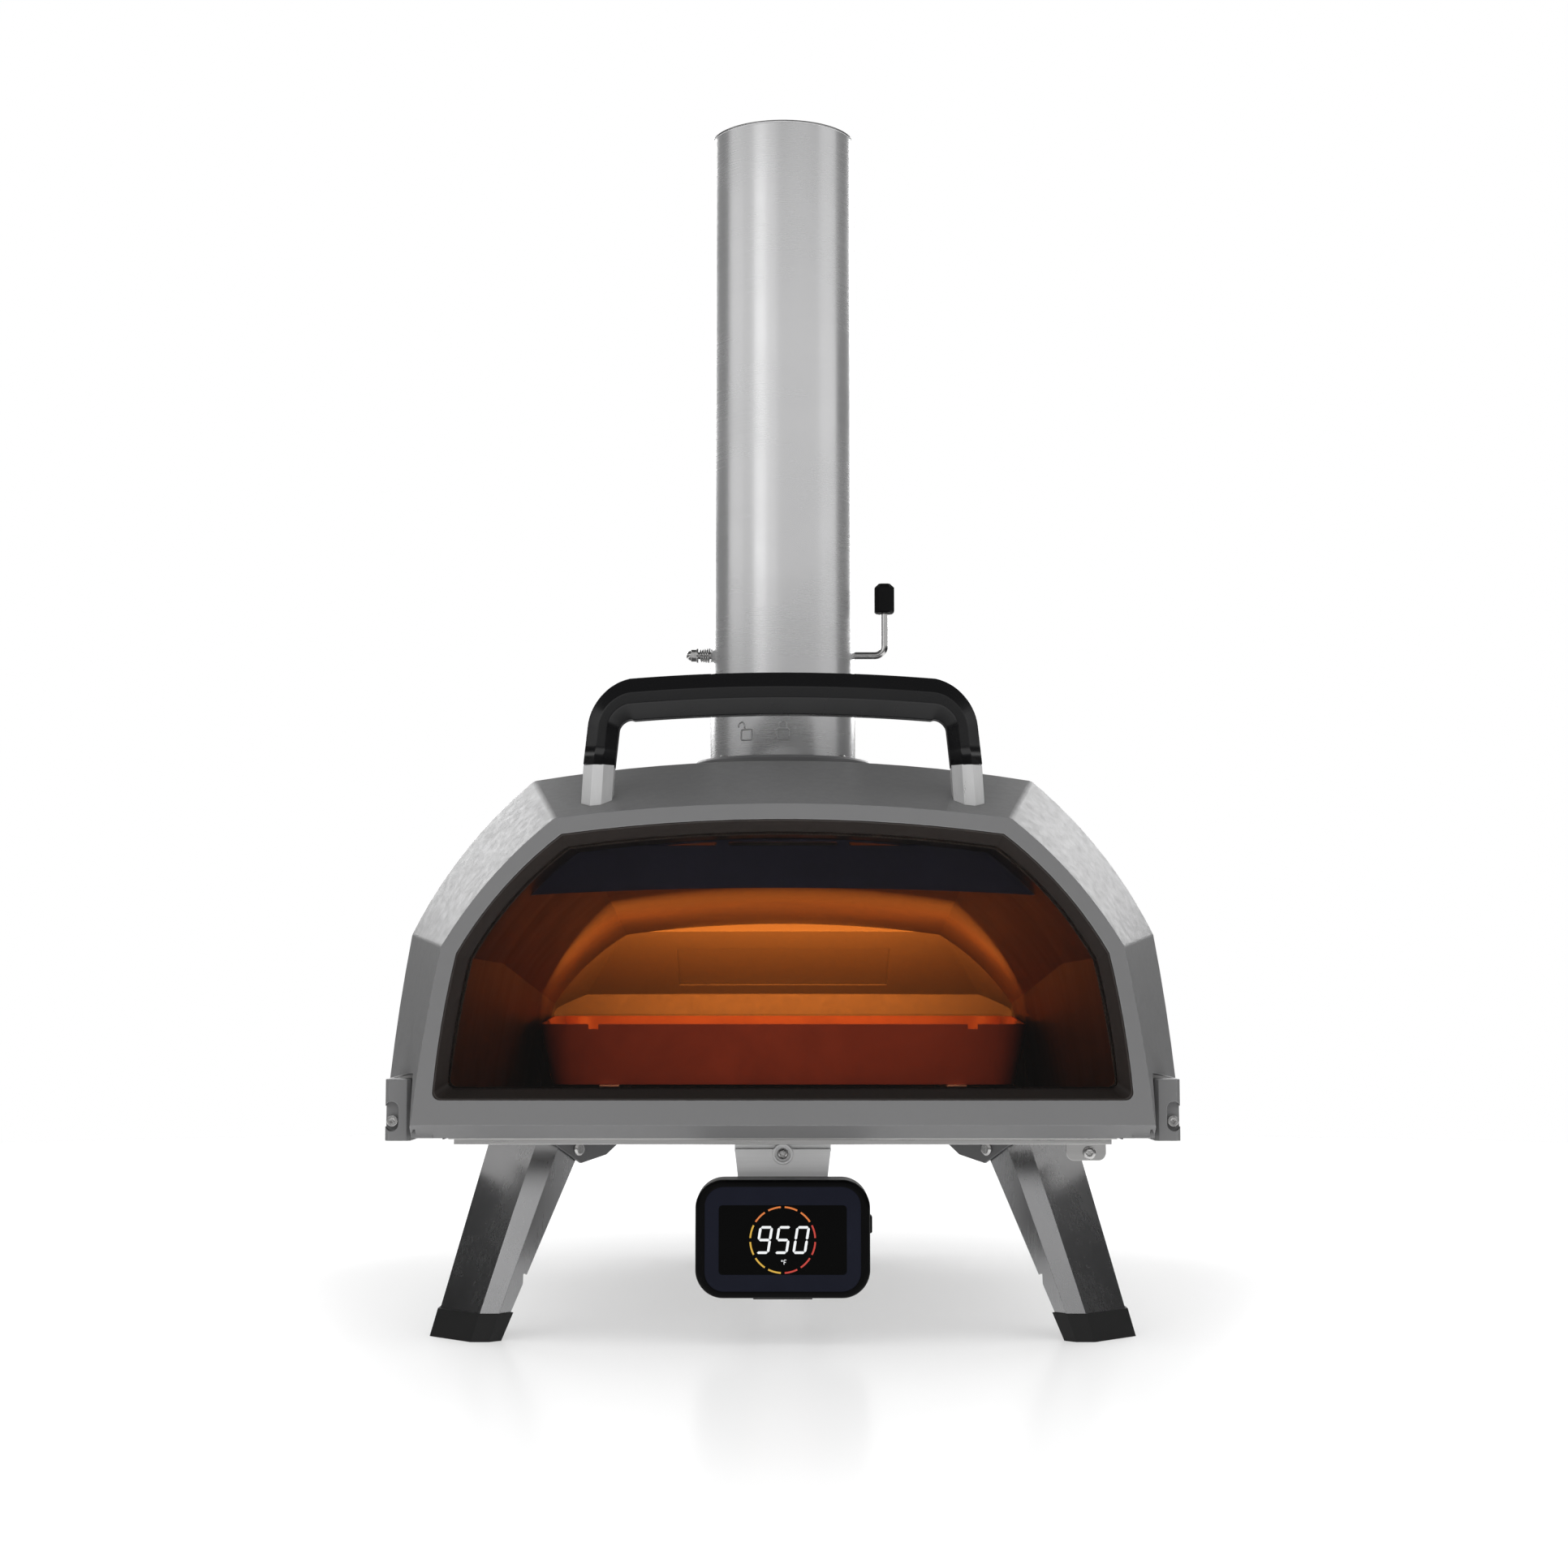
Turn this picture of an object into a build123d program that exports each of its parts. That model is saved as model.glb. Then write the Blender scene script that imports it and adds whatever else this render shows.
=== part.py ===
from build123d import *
from dataclasses import dataclass, replace
from math import cos, hypot, radians, sin, tan
import os

# A portable wood-fired oven on three folding legs. Millimetres, +Z up, front towards -Y.
# The model is drawn with y = 0 at the door's front face and is moved to its centre on export.

# ---- Overall sizes -----------------------------------------------------------------------
half_width = 266.0          # cowl, from the middle to the foot of its side wall
cowl_crown = 381.2          # top of the cowl above the ground
base_z = 128.0              # underside of the base tray above the ground
cowl_depth = 85.0           # door face to the cowl's rear edge
body_rear = 640.0           # outer face of the rear panel
tail_length = 108.0         # from the rear panel to the tail box's rear end
chimney_height = 448.5      # length of the flue pipe
rear_drop = 59.0            # how far the crown falls from the front to the rear panel
tail_rear = body_rear + tail_length

# ---- Sheet and clearances ----------------------------------------------------------------
sheet = 1.2                 # body steel
thin = 1.0                  # liner and flue steel
gap = 0.3                   # between pieces that move past each other
shaft_play = 0.05           # radial, shafts in their bores
sliver = 1.0                # how far a cutting tool reaches past what it cuts

# ---- Arch outline ------------------------------------------------------------------------
shoulder_in = 98.0
shoulder_drop = 13.8
elbow_in = 17.1
elbow_drop = 117.4
facet_bow = 7.0
side_bow = 1.8
corner_radius = 7.0
face_inset_side = 28.5      # door face compared with the cowl's rear edge
face_inset_top = 35.8
face_shoulder_in = 91.2
face_shoulder_drop = 9.6
face_elbow_in = 19.7
face_elbow_drop = 91.5
face_facet_bow = 5.0

# ---- Door --------------------------------------------------------------------------------
cowl_wall = 3.0
face_wall = 3.5
rail_depth = 13.0
rail_top_z = 153.5
rail_bottom_z = 132.0
rail_bevel = 8.5
rail_bevel_depth = 11.0
frame_width = 10.0          # face metal around the window
window_sill_z = 156.3
window_corner = 5.0
trim_wall = 1.0
trim_narrowing = 7.0
glass_front = 15.0
glass_thick = 4.0
glass_play = 0.8
gasket_thick = 1.2
retainer_lap = 6.0
reveal_wall = 3.0
boss_radius = 4.5
screw_radius = 1.6
cowl_side_z_front = 173.0   # lower edge of the cowl's side wall, at the front
cowl_side_z_rear = 168.0

# ---- Door hinge --------------------------------------------------------------------------
hinge_y = 30.0
hinge_z = 140.0
pin_radius = 4.0
lug_radius = 9.0
lug_inner_x = half_width - 43.0
block_inner_x = half_width - 27.3
block_width = 16.4
block_front = 18.0
block_bottom_z = 129.9
block_top_z = 169.1
block_step_y = 48.0
block_step = 9.0
block_side_gap = 1.9        # between the block and the door beside it
block_screw_radius = 1.8
slot_deep = 6.5             # counterbore for the block's screw

# ---- Handle ------------------------------------------------------------------------------
grip_half_x = half_width * 0.45    # middle of each arm, where it meets its post
handle_front = 16.0
post_width = 20.0
post_lean = 3.0             # how far a post leans in over its height
bar_depth = 26.0
bar_bevel = 8.5             # across the grip's face
bar_bevel_depth = 6.5
post_top_z = 372.0
arm_width = 20.6
grip_top_z = 433.2
grip_bottom_z = 405.7
grip_bow = 4.0              # how far the bar's middle stands above its ends
grip_outer_bend = 31.0
grip_inner_bend = 6.5
arm_lean = 2.6              # how far an arm leans in up to its bend
handle_screw_radius = 2.0

# ---- Liner, stone and insulation ---------------------------------------------------------
throat_front = glass_front + glass_thick + 5.0
liner_inset = 15.5          # liner outline compared with the door face outline
liner_rear_drop = 40.0
stone_top_z = 148.0
stone_thick = 15.0
stone_size = 400.0
stone_front = 53.0
sill_z = 146.0
seal_width = 5.0
baffle_y = 100.0
baffle_edge_z = 289.0
baffle_edge_rise = 7.0
baffle_slot_z = 326.0
baffle_slot_width = 2.4

# ---- Chimney -----------------------------------------------------------------------------
flue_radius = 51.0
flue_y = baffle_y + flue_radius + 9.0
collar_radius = flue_radius + 11.0
throat_end = flue_y + collar_radius + 3.0    # where the body's level front part ends
collar_top_z = 387.0
spigot_play = 0.4
spigot_top_z = 424.0
stud_radius = 3.0
stud_z = 399.0
twist_angle = 34.0

# ---- Damper ------------------------------------------------------------------------------
damper_z = 463.5
rod_radius = 2.5
plate_radius = flue_radius - 4.0
plate_thick = 1.5
crank_x = flue_radius + 21.0
crank_bend = 7.0
knob_width = 13.8
knob_height = 21.0
knob_bottom_z = 493.7

# ---- Legs --------------------------------------------------------------------------------
pivot_x = half_width - 128.0
pivot_y = 85.0
rear_leg_y = body_rear - 74.0
pivot_z = 121.2
bolt_radius = 2.5
leg_sheet = 1.5
leg_splay = 21.5            # degrees, outer web from upright
leg_edge_splay = 27.3       # degrees, free edge of the flanges
leg_width = 71.0
leg_taper = 6.6             # each side, over the whole height
leg_depth = 27.0
leg_bevel = 11.0
leg_bevel_taper = 2.5
leg_head = 4.0              # metal above the pivot
leg_end_z = 5.0             # sheet end inside the foot
foot_wall = 1.2
foot_height = 17.5
ear_sheet = 2.0
ear_drop = 14.5
bracket_top_z = base_z - 1.7

# ---- Tail box, fuel tray and hatch -------------------------------------------------------
tail_top_front_z = 284.0
tail_top_rear_z = 229.0
tail_half_width = half_width - 49.0
tray_front = body_rear - 185.0
tray_rear = tail_rear - 13.0
tray_half_width = half_width - 64.0
tray_floor_z = 152.5
tray_rim_z = 202.0
tray_side_rise = 6.0
tray_draft = 10.0
tray_corner = 25.0
grate_z = 168.0
grate_bars = 14
face_bottom_z = 137.0
face_top_z = 213.0
tray_reach = tail_rear + 67.0    # rear end of the tray's handle
vent_slots = 5
vent_pitch = 26.0
vent_slot = 11.0
vent_travel = 13.0
hatch_half_width = 105.0
hatch_length = 88.0
hatch_start = 24.0
hatch_pin_radius = 2.0
hatch_pin_height = 6.0
hatch_lift = 1.0            # lid above the sloping top

# ---- Display -----------------------------------------------------------------------------
display_front = 20.0
display_back = 54.0
display_half_width = 56.0
display_bottom_z = 30.0
display_top_z = 105.0
display_corner = 18.0
display_wall = 2.2
panel_half_width = 50.0
panel_half_height = 33.1
panel_corner = 12.4
panel_thick = 1.2
panel_sink = 0.3            # glass below the case's front
screen_half_width = 41.0
screen_bottom_z = 45.0
screen_top_z = 89.0
button_travel = 1.0
button_z = 76.0
bracket_y = 54.6
bracket_half_width = 31.5
bracket_screw_drop = 8.5
bracket_sheet = 1.5
bracket_jog_drop = 5.2      # the upper part is set back above this
bracket_jog = 5.0
pocket_radius = 5.2

origin_y = tray_reach / 2


# ---- Helpers -----------------------------------------------------------------------------
def at_y(y):
    """The upright plane across the oven at y, with local x to the right and local y up."""
    return Plane(origin=(0, y, 0), x_dir=(1, 0, 0), z_dir=(0, -1, 0))


def side_plane(x):
    """The upright plane along the oven at x, with local x towards the rear and local y up."""
    return Plane(origin=(x, 0, 0), x_dir=(0, 1, 0), z_dir=(1, 0, 0))


def block(x0, x1, y0, y1, z0, z1):
    """A box between six limits."""
    centre = ((x0 + x1) / 2, (y0 + y1) / 2, (z0 + z1) / 2)
    return Pos(*centre) * Box(x1 - x0, y1 - y0, z1 - z0)


def rod(start, end, radius):
    """A round bar between two points."""
    axis = Vector(*end) - Vector(*start)
    return Solid.make_cylinder(radius, axis.length, Plane(origin=start, z_dir=axis))


def extrude_y(face, y0, y1):
    """A prism from a local outline, running from y0 back to y1."""
    return extrude(at_y(y1) * face, amount=y1 - y0)


def extrude_x(points, x0, x1):
    """A prism from (y, z) points, running across from x0 to x1."""
    face = make_face(Polyline(*points, close=True))
    return extrude(side_plane(x0) * face, amount=x1 - x0)


def both_sides(shape):
    """A shape and its mirror image in the middle plane."""
    return [shape, mirror(shape, about=Plane.YZ)]


def bowed(start, end, bow):
    """An arc that stands bow outside its chord, going anticlockwise round an outline."""
    run_x = end[0] - start[0]
    run_z = end[1] - start[1]
    length = hypot(run_x, run_z)
    middle_x = (start[0] + end[0]) / 2 + bow * run_z / length
    middle_z = (start[1] + end[1]) / 2 - bow * run_x / length
    return ThreePointArc(start, (middle_x, middle_z), end)


def crossing(p, slope_p, q, slope_q):
    """Where two lines meet, each given by a point and its direction."""
    cross = slope_p[0] * slope_q[1] - slope_p[1] * slope_q[0]
    along = ((q[0] - p[0]) * slope_q[1] - (q[1] - p[1]) * slope_q[0]) / cross
    return (p[0] + along * slope_p[0], p[1] + along * slope_p[1])


@dataclass
class Arch:
    """A faceted arch: a level foot, leaning sides, sloping facets and a bowed crown."""
    foot: tuple
    elbow: tuple
    shoulder: tuple
    crown: float
    facet_bow: float = facet_bow
    side_bow: float = side_bow
    corner: float = corner_radius

    def inset(self, amount, foot_z=None):
        """The same arch, moved inwards by amount all round but at the foot."""
        side = (self.elbow[0] - self.foot[0], self.elbow[1] - self.foot[1])
        facet = (self.shoulder[0] - self.elbow[0], self.shoulder[1] - self.elbow[1])
        side_length = hypot(*side)
        facet_length = hypot(*facet)
        side_point = (self.foot[0] - amount * side[1] / side_length,
                      self.foot[1] + amount * side[0] / side_length)
        facet_point = (self.elbow[0] - amount * facet[1] / facet_length,
                       self.elbow[1] + amount * facet[0] / facet_length)
        new_foot_z = self.foot[1] if foot_z is None else foot_z
        level = (1.0, 0.0)
        return replace(
            self,
            foot=crossing(side_point, side, (0, new_foot_z), level),
            elbow=crossing(side_point, side, facet_point, facet),
            shoulder=crossing(facet_point, facet, (0, self.shoulder[1] - amount), level),
            crown=self.crown - amount,
            corner=max(self.corner - amount / 2, 1.0),
        )

    def outline(self):
        """The arch as a face in local x and height."""
        left_foot = (-self.foot[0], self.foot[1])
        left_elbow = (-self.elbow[0], self.elbow[1])
        left_shoulder = (-self.shoulder[0], self.shoulder[1])
        edges = [
            Line(left_foot, self.foot),
            bowed(self.foot, self.elbow, self.side_bow),
            bowed(self.elbow, self.shoulder, self.facet_bow),
            bowed(self.shoulder, left_shoulder, self.crown - self.shoulder[1]),
            bowed(left_shoulder, left_elbow, self.facet_bow),
            bowed(left_elbow, left_foot, self.side_bow),
        ]
        face = make_face(edges)
        corners = face.vertices().sort_by(Axis.Y)[2:]
        return fillet(corners, self.corner)

    def at(self, y):
        return at_y(y) * self.outline()


def between(first, last, share):
    """The arch that lies between two others, at a share of the way along."""
    def mix(a, b):
        return a + (b - a) * share

    return replace(
        first,
        foot=(mix(first.foot[0], last.foot[0]), mix(first.foot[1], last.foot[1])),
        elbow=(mix(first.elbow[0], last.elbow[0]), mix(first.elbow[1], last.elbow[1])),
        shoulder=(mix(first.shoulder[0], last.shoulder[0]), mix(first.shoulder[1], last.shoulder[1])),
        crown=mix(first.crown, last.crown),
        facet_bow=mix(first.facet_bow, last.facet_bow),
        side_bow=mix(first.side_bow, last.side_bow),
        corner=mix(first.corner, last.corner),
    )


def tube_of(stations):
    """A solid through arches, given as (arch, y) pairs."""
    return loft([arch.at(y) for arch, y in stations], ruled=True)


def arch_ring(outer, inner, y0, y1):
    """A flat ring between two arches that share their foot."""
    return extrude_y(outer.outline(), y0, y1) - extrude_y(inner.outline(), y0 - sliver, y1 + sliver)


# ---- The arches that everything follows --------------------------------------------------
cowl_arch = Arch(
    foot=(half_width, base_z),
    elbow=(half_width - elbow_in, cowl_crown - elbow_drop),
    shoulder=(half_width - shoulder_in, cowl_crown - shoulder_drop),
    crown=cowl_crown,
)
face_half_width = half_width - face_inset_side
face_crown = cowl_crown - face_inset_top
face_arch = Arch(
    foot=(face_half_width, base_z),
    elbow=(face_half_width - face_elbow_in, face_crown - face_elbow_drop),
    shoulder=(face_half_width - face_shoulder_in, face_crown - face_shoulder_drop),
    crown=face_crown,
    facet_bow=face_facet_bow,
)
window_arch = face_arch.inset(frame_width, window_sill_z)
shell_start = cowl_depth + 2.5
shell_arch = cowl_arch.inset(2.4)
shell_rear_arch = replace(
    shell_arch,
    elbow=(shell_arch.elbow[0], shell_arch.elbow[1] - rear_drop * 0.55),
    shoulder=(shell_arch.shoulder[0] - 8, shell_arch.shoulder[1] - rear_drop),
    crown=shell_arch.crown - rear_drop,
)
liner_foot_z = base_z + sheet
liner_arch = face_arch.inset(liner_inset, liner_foot_z)
liner_rear_arch = replace(
    liner_arch,
    elbow=(liner_arch.elbow[0], liner_arch.elbow[1] - liner_rear_drop * 0.7),
    shoulder=(liner_arch.shoulder[0], liner_arch.shoulder[1] - liner_rear_drop),
    crown=liner_arch.crown - liner_rear_drop,
)
tail_front_arch = Arch(
    foot=(tail_half_width, base_z),
    elbow=(tail_half_width - 4, tail_top_front_z - 58),
    shoulder=(tail_half_width - 74, tail_top_front_z),
    crown=tail_top_front_z + 0.6,
    facet_bow=1.0,
    side_bow=0.5,
)
tail_rear_arch = Arch(
    foot=(tail_half_width, base_z),
    elbow=(tail_half_width - 3, tail_top_rear_z - 14),
    shoulder=(tail_half_width - 34, tail_top_rear_z),
    crown=tail_top_rear_z + 0.6,
    facet_bow=0.5,
    side_bow=0.3,
)


def body_stations(front, rear, y0, y1):
    """A level front stretch and a falling rear stretch."""
    return [(front, y0), (front, throat_end), (rear, y1)]


# ---- Body --------------------------------------------------------------------------------
def outer_shell():
    outer = tube_of(body_stations(shell_arch, shell_rear_arch, shell_start, body_rear))
    foot_z = base_z - sliver
    inner_front = shell_arch.inset(sheet, foot_z)
    inner_rear = shell_rear_arch.inset(sheet, foot_z)
    inner = tube_of(body_stations(inner_front, inner_rear, shell_start, body_rear))
    flue_hole = rod((0, flue_y, stone_top_z), (0, flue_y, cowl_crown + 50), flue_radius - thin + 0.5)
    return outer - inner - flue_hole


def base_tray():
    """A shallow pan with upturned sides and a narrower tongue under the door."""
    half = shell_arch.foot[0] - sheet - 0.5
    tongue_half = half_width - 51.0
    wall_x = half - 4.5
    wall_top = base_z + 20.0
    floor = block(-half, half, shell_start, body_rear - sheet, base_z, base_z + sheet)
    tongue = block(-tongue_half, tongue_half, stone_front - 1, shell_start, base_z, base_z + sheet)
    hem = block(-tongue_half, tongue_half, stone_front - 1, stone_front + 0.2,
                base_z - 2.2, base_z)
    wall_start = shell_start + 1.5
    wall_end = body_rear - sheet - 1.5
    wall = block(wall_x - sheet, wall_x, wall_start, wall_end, base_z, wall_top)
    pan = floor + tongue + hem
    for side in both_sides(wall):
        pan += side
    return pan


def inner_liner():
    """The cooking chamber's steel arch, cut away at the front corners for the door's swing."""
    outer_front = liner_arch.inset(-thin)
    outer_rear = liner_rear_arch.inset(-thin)
    inner_front = replace(liner_arch, foot=(liner_arch.foot[0], liner_foot_z - sliver))
    inner_rear = replace(liner_rear_arch, foot=(liner_rear_arch.foot[0], liner_foot_z - sliver))
    rear = body_rear - sheet - gap
    outer = tube_of(body_stations(outer_front, outer_rear, throat_front, rear))
    inner = tube_of(body_stations(inner_front, inner_rear, throat_front, rear))
    flue_hole = rod((0, flue_y, stone_top_z), (0, flue_y, cowl_crown), flue_radius - thin - spigot_play)
    corner = block(-half_width, half_width, throat_front - sliver, stone_front - 1,
                   base_z, hinge_z + 2)
    return outer - inner - flue_hole - corner


def insulation_blanket():
    outer_front = shell_arch.inset(sheet + 0.5)
    outer_rear = shell_rear_arch.inset(sheet + 0.5)
    inner_front = liner_arch.inset(-thin - 0.5, base_z - sliver)
    inner_rear = liner_rear_arch.inset(-thin - 0.5, base_z - sliver)
    front = shell_start + 0.5
    rear = body_rear - sheet - 0.5
    outer = tube_of(body_stations(outer_front, outer_rear, front, rear))
    inner = tube_of(body_stations(inner_front, inner_rear, front, rear))
    under = block(-half_width, half_width, front - 1, rear + 1, base_z - 5, base_z + 21)
    flue_hole = rod((0, flue_y, stone_top_z), (0, flue_y, cowl_crown), flue_radius + 1.0)
    return outer - inner - under - flue_hole


def front_frame():
    """The ring that closes the gap between liner and shell behind the cowl."""
    inner = liner_arch.inset(-thin)
    ring = extrude_y(shell_arch.outline(), shell_start - 1.5, shell_start)
    ring -= extrude_y(inner.outline(), shell_start - 3, shell_start + 1)
    return ring - block(-half_width, half_width, 0, body_rear, base_z - 1, base_z + sheet)


def rear_panel():
    outer = shell_rear_arch.inset(sheet + 0.2, base_z + sheet)
    mouth = tail_front_arch.inset(sheet, base_z - sliver)
    panel = extrude_y(outer.outline(), body_rear - sheet, body_rear)
    return panel - extrude_y(mouth.outline(), body_rear - 5, body_rear + 1)


def slope_plane(along, above):
    """A plane on the tail's sloping top, at a distance down the slope and above it."""
    run = tail_rear - body_rear
    fall = tail_top_front_z - tail_top_rear_z
    length = hypot(run, fall)
    y = body_rear + along * run / length + above * fall / length
    z = tail_top_front_z - along * fall / length + above * run / length
    return Plane(origin=(0, y, z), x_dir=(1, 0, 0), z_dir=(0, fall, run))


def hatch_opening():
    """The tool that cuts the fuel hatch in the tail's top."""
    middle = hatch_start + hatch_length / 2
    hole = Box(2 * (hatch_half_width - 9), hatch_length - 18, 30)
    return slope_plane(middle, 0) * hole


def rear_box():
    """The tail box round the fuel tray, with the hatch's hinge ears."""
    inner_front = tail_front_arch.inset(sheet, base_z + sheet)
    inner_rear = tail_rear_arch.inset(sheet, base_z + sheet)
    box = tube_of([(tail_front_arch, body_rear), (tail_rear_arch, tail_rear)])
    inner = tube_of([(inner_front, body_rear), (inner_rear, tail_rear - sheet)])
    inner += extrude_y(inner_front.outline(), body_rear - 1, body_rear)
    mouth = block(-(tray_half_width + 4), tray_half_width + 4, tail_rear - 5, tail_rear + 1,
                  face_bottom_z + 5, face_top_z - 4)
    box = box - inner - mouth - hatch_opening()
    for side in (-1, 1):
        ear = slope_plane(hatch_start - 6, hatch_pin_height / 2) * Box(6, 10, hatch_pin_height + 8)
        ear = Pos(side * (hatch_half_width + 5), 0, 0) * ear
        box += ear - inner
    bore = hatch_pin_solid(0.0)
    return box - bore


def hatch_pin_solid(play):
    centre = slope_plane(hatch_start - 6, hatch_pin_height).origin
    reach = hatch_half_width + 8
    return rod((-reach, centre.Y, centre.Z), (reach, centre.Y, centre.Z), hatch_pin_radius + play)


def hatch_pin():
    return hatch_pin_solid(0.0)


def door_seal():
    """A rope seal round the throat's front edge, pressed by the door."""
    outer = liner_arch.inset(-thin - 1.0, hinge_z + 2.2)
    inner = outer.inset(seal_width, hinge_z + 2.2 + seal_width - 1.5)
    return arch_ring(outer, inner, throat_front - 2.0, throat_front)


def front_sill():
    """The landing plate in front of the stone."""
    half = liner_arch.inset(0.4, sill_z).foot[0]
    plate = block(-half, half, throat_front, stone_front - gap, sill_z, sill_z + 1.5)
    lip = block(-half, half, stone_front - gap - 1.5, stone_front - gap, base_z + sheet, sill_z)
    return plate + lip


def baking_stone():
    stone = block(-stone_size / 2, stone_size / 2, stone_front, stone_front + stone_size,
                  stone_top_z - stone_thick, stone_top_z)
    corners = stone.edges().filter_by(Axis.Z)
    stone = fillet(corners, 8)
    return chamfer(stone.faces().sort_by(Axis.Z)[-1].edges(), 1.2)


def floor_supports():
    """Strips under the stone and the fuel tray's two rails."""
    parts = []
    stone_bottom = stone_top_z - stone_thick
    for share in (-0.8, 0.0, 0.8):
        x = share * stone_size / 2
        parts.append(block(x - 12, x + 12, stone_front + 10, stone_front + stone_size - 10,
                           base_z + sheet, stone_bottom))
    for side in (-1, 1):
        x = side * (tray_half_width - 60)
        parts.append(block(x - 8, x + 8, tray_front + 6, body_rear - 4,
                           base_z + sheet, tray_floor_z - gap))
    return parts


def flue_baffle():
    """A hanging plate with a curved lower edge and three slots, which keeps smoke off the mouth."""
    plate_arch = liner_arch.inset(0.3)
    plate = extrude_y(plate_arch.outline(), baffle_y, baffle_y + 1.5)
    span = plate_arch.elbow[0]
    edge = ThreePointArc((-span, baffle_edge_z), (0, baffle_edge_z + baffle_edge_rise), (span, baffle_edge_z))
    foot = Polyline((span, baffle_edge_z), (half_width, baffle_edge_z), (half_width, 0),
                    (-half_width, 0), (-half_width, baffle_edge_z), (-span, baffle_edge_z))
    plate -= extrude_y(make_face([edge, foot]), baffle_y - 1, baffle_y + 3)
    for x, length in ((-76, 62), (0, 74), (76, 62)):
        slot = Pos(x, baffle_slot_z) * SlotOverall(length, baffle_slot_width)
        plate -= extrude_y(slot, baffle_y - 1, baffle_y + 3)
    flange_arch = plate_arch.inset(1.5, base_z)
    flange = extrude_y(plate_arch.outline(), baffle_y + 1.5, baffle_y + 9)
    flange -= extrude_y(flange_arch.outline(), baffle_y, baffle_y + 10)
    flange -= block(-half_width, half_width, baffle_y, baffle_y + 10, 0, baffle_edge_z + 12)
    return plate + flange


# ---- Door --------------------------------------------------------------------------------
def cowl_solid():
    return tube_of([(face_arch, 0), (cowl_arch, cowl_depth)])


def window_outline(arch):
    """A window-shaped face, with rounded lower corners."""
    face = arch.outline()
    lower = face.vertices().sort_by(Axis.Y)[:2]
    return fillet(lower, window_corner)


def boss_places():
    """Where the retainer's screws stand, round the window."""
    ring = window_arch.inset(-(reveal_wall + boss_radius - 1.5), window_sill_z)
    facet_x = (ring.elbow[0] + ring.shoulder[0]) / 2 + 3
    facet_z = (ring.elbow[1] + ring.shoulder[1]) / 2 + 3
    side_x = (ring.foot[0] + ring.elbow[0]) / 2 + 0.5
    side_z = (ring.foot[1] + ring.elbow[1]) / 2
    return [(x, z) for x, z in (
        (0, ring.crown), (facet_x, facet_z), (-facet_x, facet_z), (side_x, side_z), (-side_x, side_z),
    )]


def door_frame():
    """The cast cowl with its face, window reveal, bottom rail and hinge lugs."""
    share = face_wall / cowl_depth
    outer = cowl_solid()
    hollow_front = between(face_arch, cowl_arch, share).inset(cowl_wall, base_z - sliver)
    hollow_rear = cowl_arch.inset(cowl_wall, base_z - sliver)
    hollow = tube_of([(hollow_front, face_wall), (hollow_rear, cowl_depth)])
    frame = outer - hollow

    reveal_end = glass_front + glass_thick + gasket_thick
    reveal = window_arch.inset(-reveal_wall, window_sill_z - reveal_wall)
    frame += extrude_y(window_outline(reveal), face_wall - 0.5, reveal_end)
    for x, z in boss_places():
        frame += rod((x, face_wall - 0.5, z), (x, reveal_end, z), boss_radius)
    rail_half = face_arch.foot[0] - 4
    frame += block(-rail_half, rail_half, 1, rail_depth, rail_bottom_z, rail_top_z)
    frame -= extrude_y(window_outline(window_arch), -1, reveal_end + 1)

    frame -= block(-half_width - 5, half_width + 5, -1, cowl_depth + 1, base_z - 2, rail_bottom_z)
    bevel = extrude_x([(-0.1, rail_bottom_z - 1), (rail_bevel_depth, rail_bottom_z - 1),
                       (rail_bevel_depth, rail_bottom_z), (0, rail_bottom_z + rail_bevel),
                       (-0.1, rail_bottom_z + rail_bevel)], -half_width, half_width)
    frame -= bevel
    cut_x = block_inner_x - block_side_gap
    side_cut = extrude_x([(-1, cowl_side_z_front + 1), (block_front, cowl_side_z_front),
                          (cowl_depth + 1, cowl_side_z_rear), (cowl_depth + 1, base_z - 3),
                          (-1, base_z - 3)], cut_x, half_width + 5)
    for cut in both_sides(side_cut):
        frame -= cut
    for lug in both_sides(hinge_lug(cut_x)):
        frame += lug
    for bore in both_sides(pin_solid(shaft_play, gap)):
        frame -= bore
    for x, z in boss_places():
        frame -= rod((x, face_wall + 3, z), (x, reveal_end + 1, z), screw_radius)
    y = handle_centre_y()
    for x in (-handle_screw_x(), handle_screw_x()):
        frame += rod((x, y, handle_screw_z()), (x, y, handle_screw_z() + cowl_wall), 6.0)
        frame -= rod((x, y, handle_screw_z() - 1), (x, y, post_top_z), handle_screw_radius + 0.2)
    return frame


def hinge_lug(outer_x):
    """A rounded ear at the foot of the door, round the hinge pin."""
    lug = rod((lug_inner_x, hinge_y, hinge_z), (outer_x, hinge_y, hinge_z), lug_radius)
    web = block(lug_inner_x, outer_x, rail_depth - 5, hinge_y, hinge_z - 7.5, hinge_z + lug_radius)
    return lug + web


def pin_solid(play, deeper=0.0):
    return rod((lug_inner_x + 1.5 - deeper, hinge_y, hinge_z),
               (block_inner_x + block_width - 4, hinge_y, hinge_z), pin_radius + play)


def window_trim():
    """The dark bezel that narrows from the face to the glass."""
    front = window_arch.inset(0.0)
    outer = extrude_y(window_outline(front), trim_wall, glass_front)
    mouth = window_arch.inset(trim_wall, window_sill_z + trim_wall)
    throat = window_arch.inset(trim_narrowing, window_sill_z + trim_narrowing)
    inner = loft([at_y(trim_wall) * window_outline(mouth), at_y(glass_front) * window_outline(throat)],
                 ruled=True)
    return outer - inner


def glass_outline():
    return window_outline(window_arch.inset(glass_play, window_sill_z + glass_play))


def door_glass():
    return extrude_y(glass_outline(), glass_front, glass_front + glass_thick)


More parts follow.
